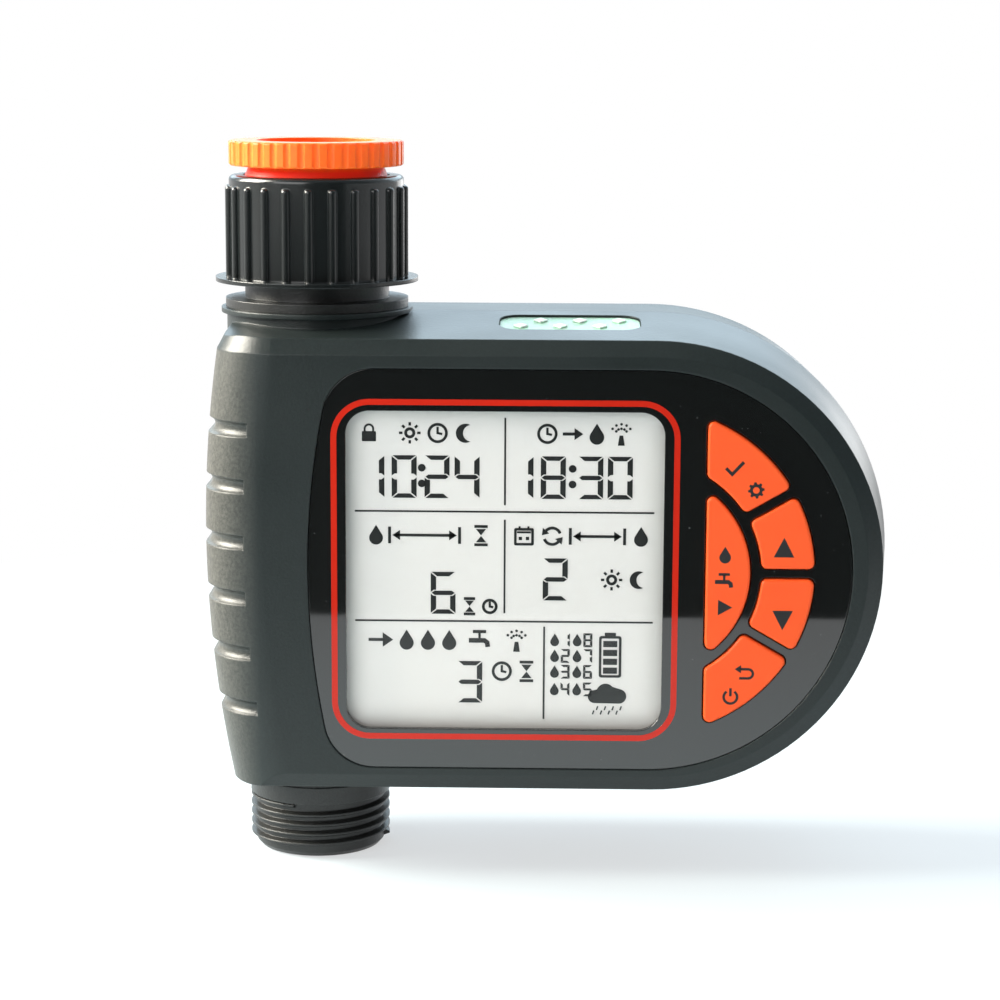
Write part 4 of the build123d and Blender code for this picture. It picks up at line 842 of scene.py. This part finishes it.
def makeWorld(ambient):
    world = bpy.data.worlds.new("studio")
    world.use_nodes = True
    scene.world = world
    tree = world.node_tree
    shader = tree.nodes["Background"]
    path = addNode(tree, "ShaderNodeLightPath")
    seen = mathOf(tree, "MAXIMUM", path.outputs["Is Camera Ray"], mathOf(
        tree, "MAXIMUM", path.outputs["Is Glossy Ray"], path.outputs["Is Transmission Ray"]))
    tree.links.new(spread(tree, seen, 0, 1, ambient, 1.0), shader.inputs["Strength"])
    # the room is dark on the display side, and pale blue behind
    place = addNode(tree, "ShaderNodeTexCoord").outputs["Generated"]
    depth = addNode(tree, "ShaderNodeSeparateXYZ", None, Vector=place).outputs["Y"]
    room = mixColour(tree, spread(tree, depth, -0.3, 0.35, 0, 1), (0.22, 0.25, 0.27, 1), (0.84, 0.94, 1.0, 1))
    tree.links.new(mixColour(tree, path.outputs["Is Glossy Ray"], grey(1.0), room), shader.inputs["Color"])


makeWorld(0.45)


def makeFlag(name, corners, level):
    # a dark card that only reflections see
    bm = bmesh.new()
    bm.faces.new([bm.verts.new(corner) for corner in corners])
    mesh = bpy.data.meshes.new(name)
    bm.to_mesh(mesh)
    bm.free()
    card = bpy.data.objects.new(name, mesh)
    scene.collection.objects.link(card)
    finish, tree, shader = newFinish(name)
    fibre = noiseOf(tree, objectPlace(tree), 0.002, 2)
    tree.links.new(mixColour(tree, fibre, grey(level), grey(level * 1.2)), shader.inputs["Base Color"])
    setSockets(shader, Roughness=1.0, Specular_IOR_Level=0.0)
    mesh.materials.append(finish)
    card.visible_camera = False
    card.visible_diffuse = False
    card.visible_shadow = False
    card.visible_transmission = False


cardLook = {"half": 1.2, "nearY": -0.235, "farY": -1.3, "low": floorLook["height"], "lift": 0.002, "top": 0.9,
            "level": 0.02}


def placeCards(look):
    half, near, far = look["half"], look["nearY"], look["farY"]
    low, top = look["low"], look["top"]
    over = low + look["lift"]
    makeFlag("frontCard", ((-half, near, over), (half, near, over), (half, far, over), (-half, far, over)),
             look["level"])
    makeFlag("backdropCard", ((-half, far, low), (half, far, low), (half, far, top), (-half, far, top)),
             look["level"])


placeCards(cardLook)


def makeLamp(name, place, target, width, height, watts, colour):
    data = bpy.data.lights.new(name, "AREA")
    data.shape = "RECTANGLE"
    data.size = width
    data.size_y = height
    data.energy = watts
    data.color = colour
    lamp = bpy.data.objects.new(name, data)
    lamp.location = place
    lamp.rotation_euler = (Vector(target) - Vector(place)).to_track_quat("-Z", "Y").to_euler()
    scene.collection.objects.link(lamp)
    return lamp


middlePlace = (0.035, 0, -0.07)
makeLamp("frontLamp", (-0.45, -0.75, 0.25), middlePlace, 0.7, 0.5, 3.9, (1.0, 1.0, 1.0))
makeLamp("leftLamp", (-0.74, 0.03, 0.38), middlePlace, 0.6, 0.5, 35.0, (1.0, 0.95, 0.84))
makeLamp("topLamp", (0.1, 0.35, 0.8), middlePlace, 0.8, 0.5, 4.0, (0.80, 0.92, 1.0))
makeLamp("backLamp", (0.12, 0.9, 0.46), middlePlace, 1.8, 0.6, 9.0, (0.66, 0.86, 1.0))
# a low lamp behind, for the right-hand rim
rimLamp = makeLamp("rimLamp", (0.5, 0.9, -0.02), middlePlace, 0.5, 0.18, 0.7, (1.0, 1.0, 0.99))
rimLamp.visible_camera = False
print("studio lit")
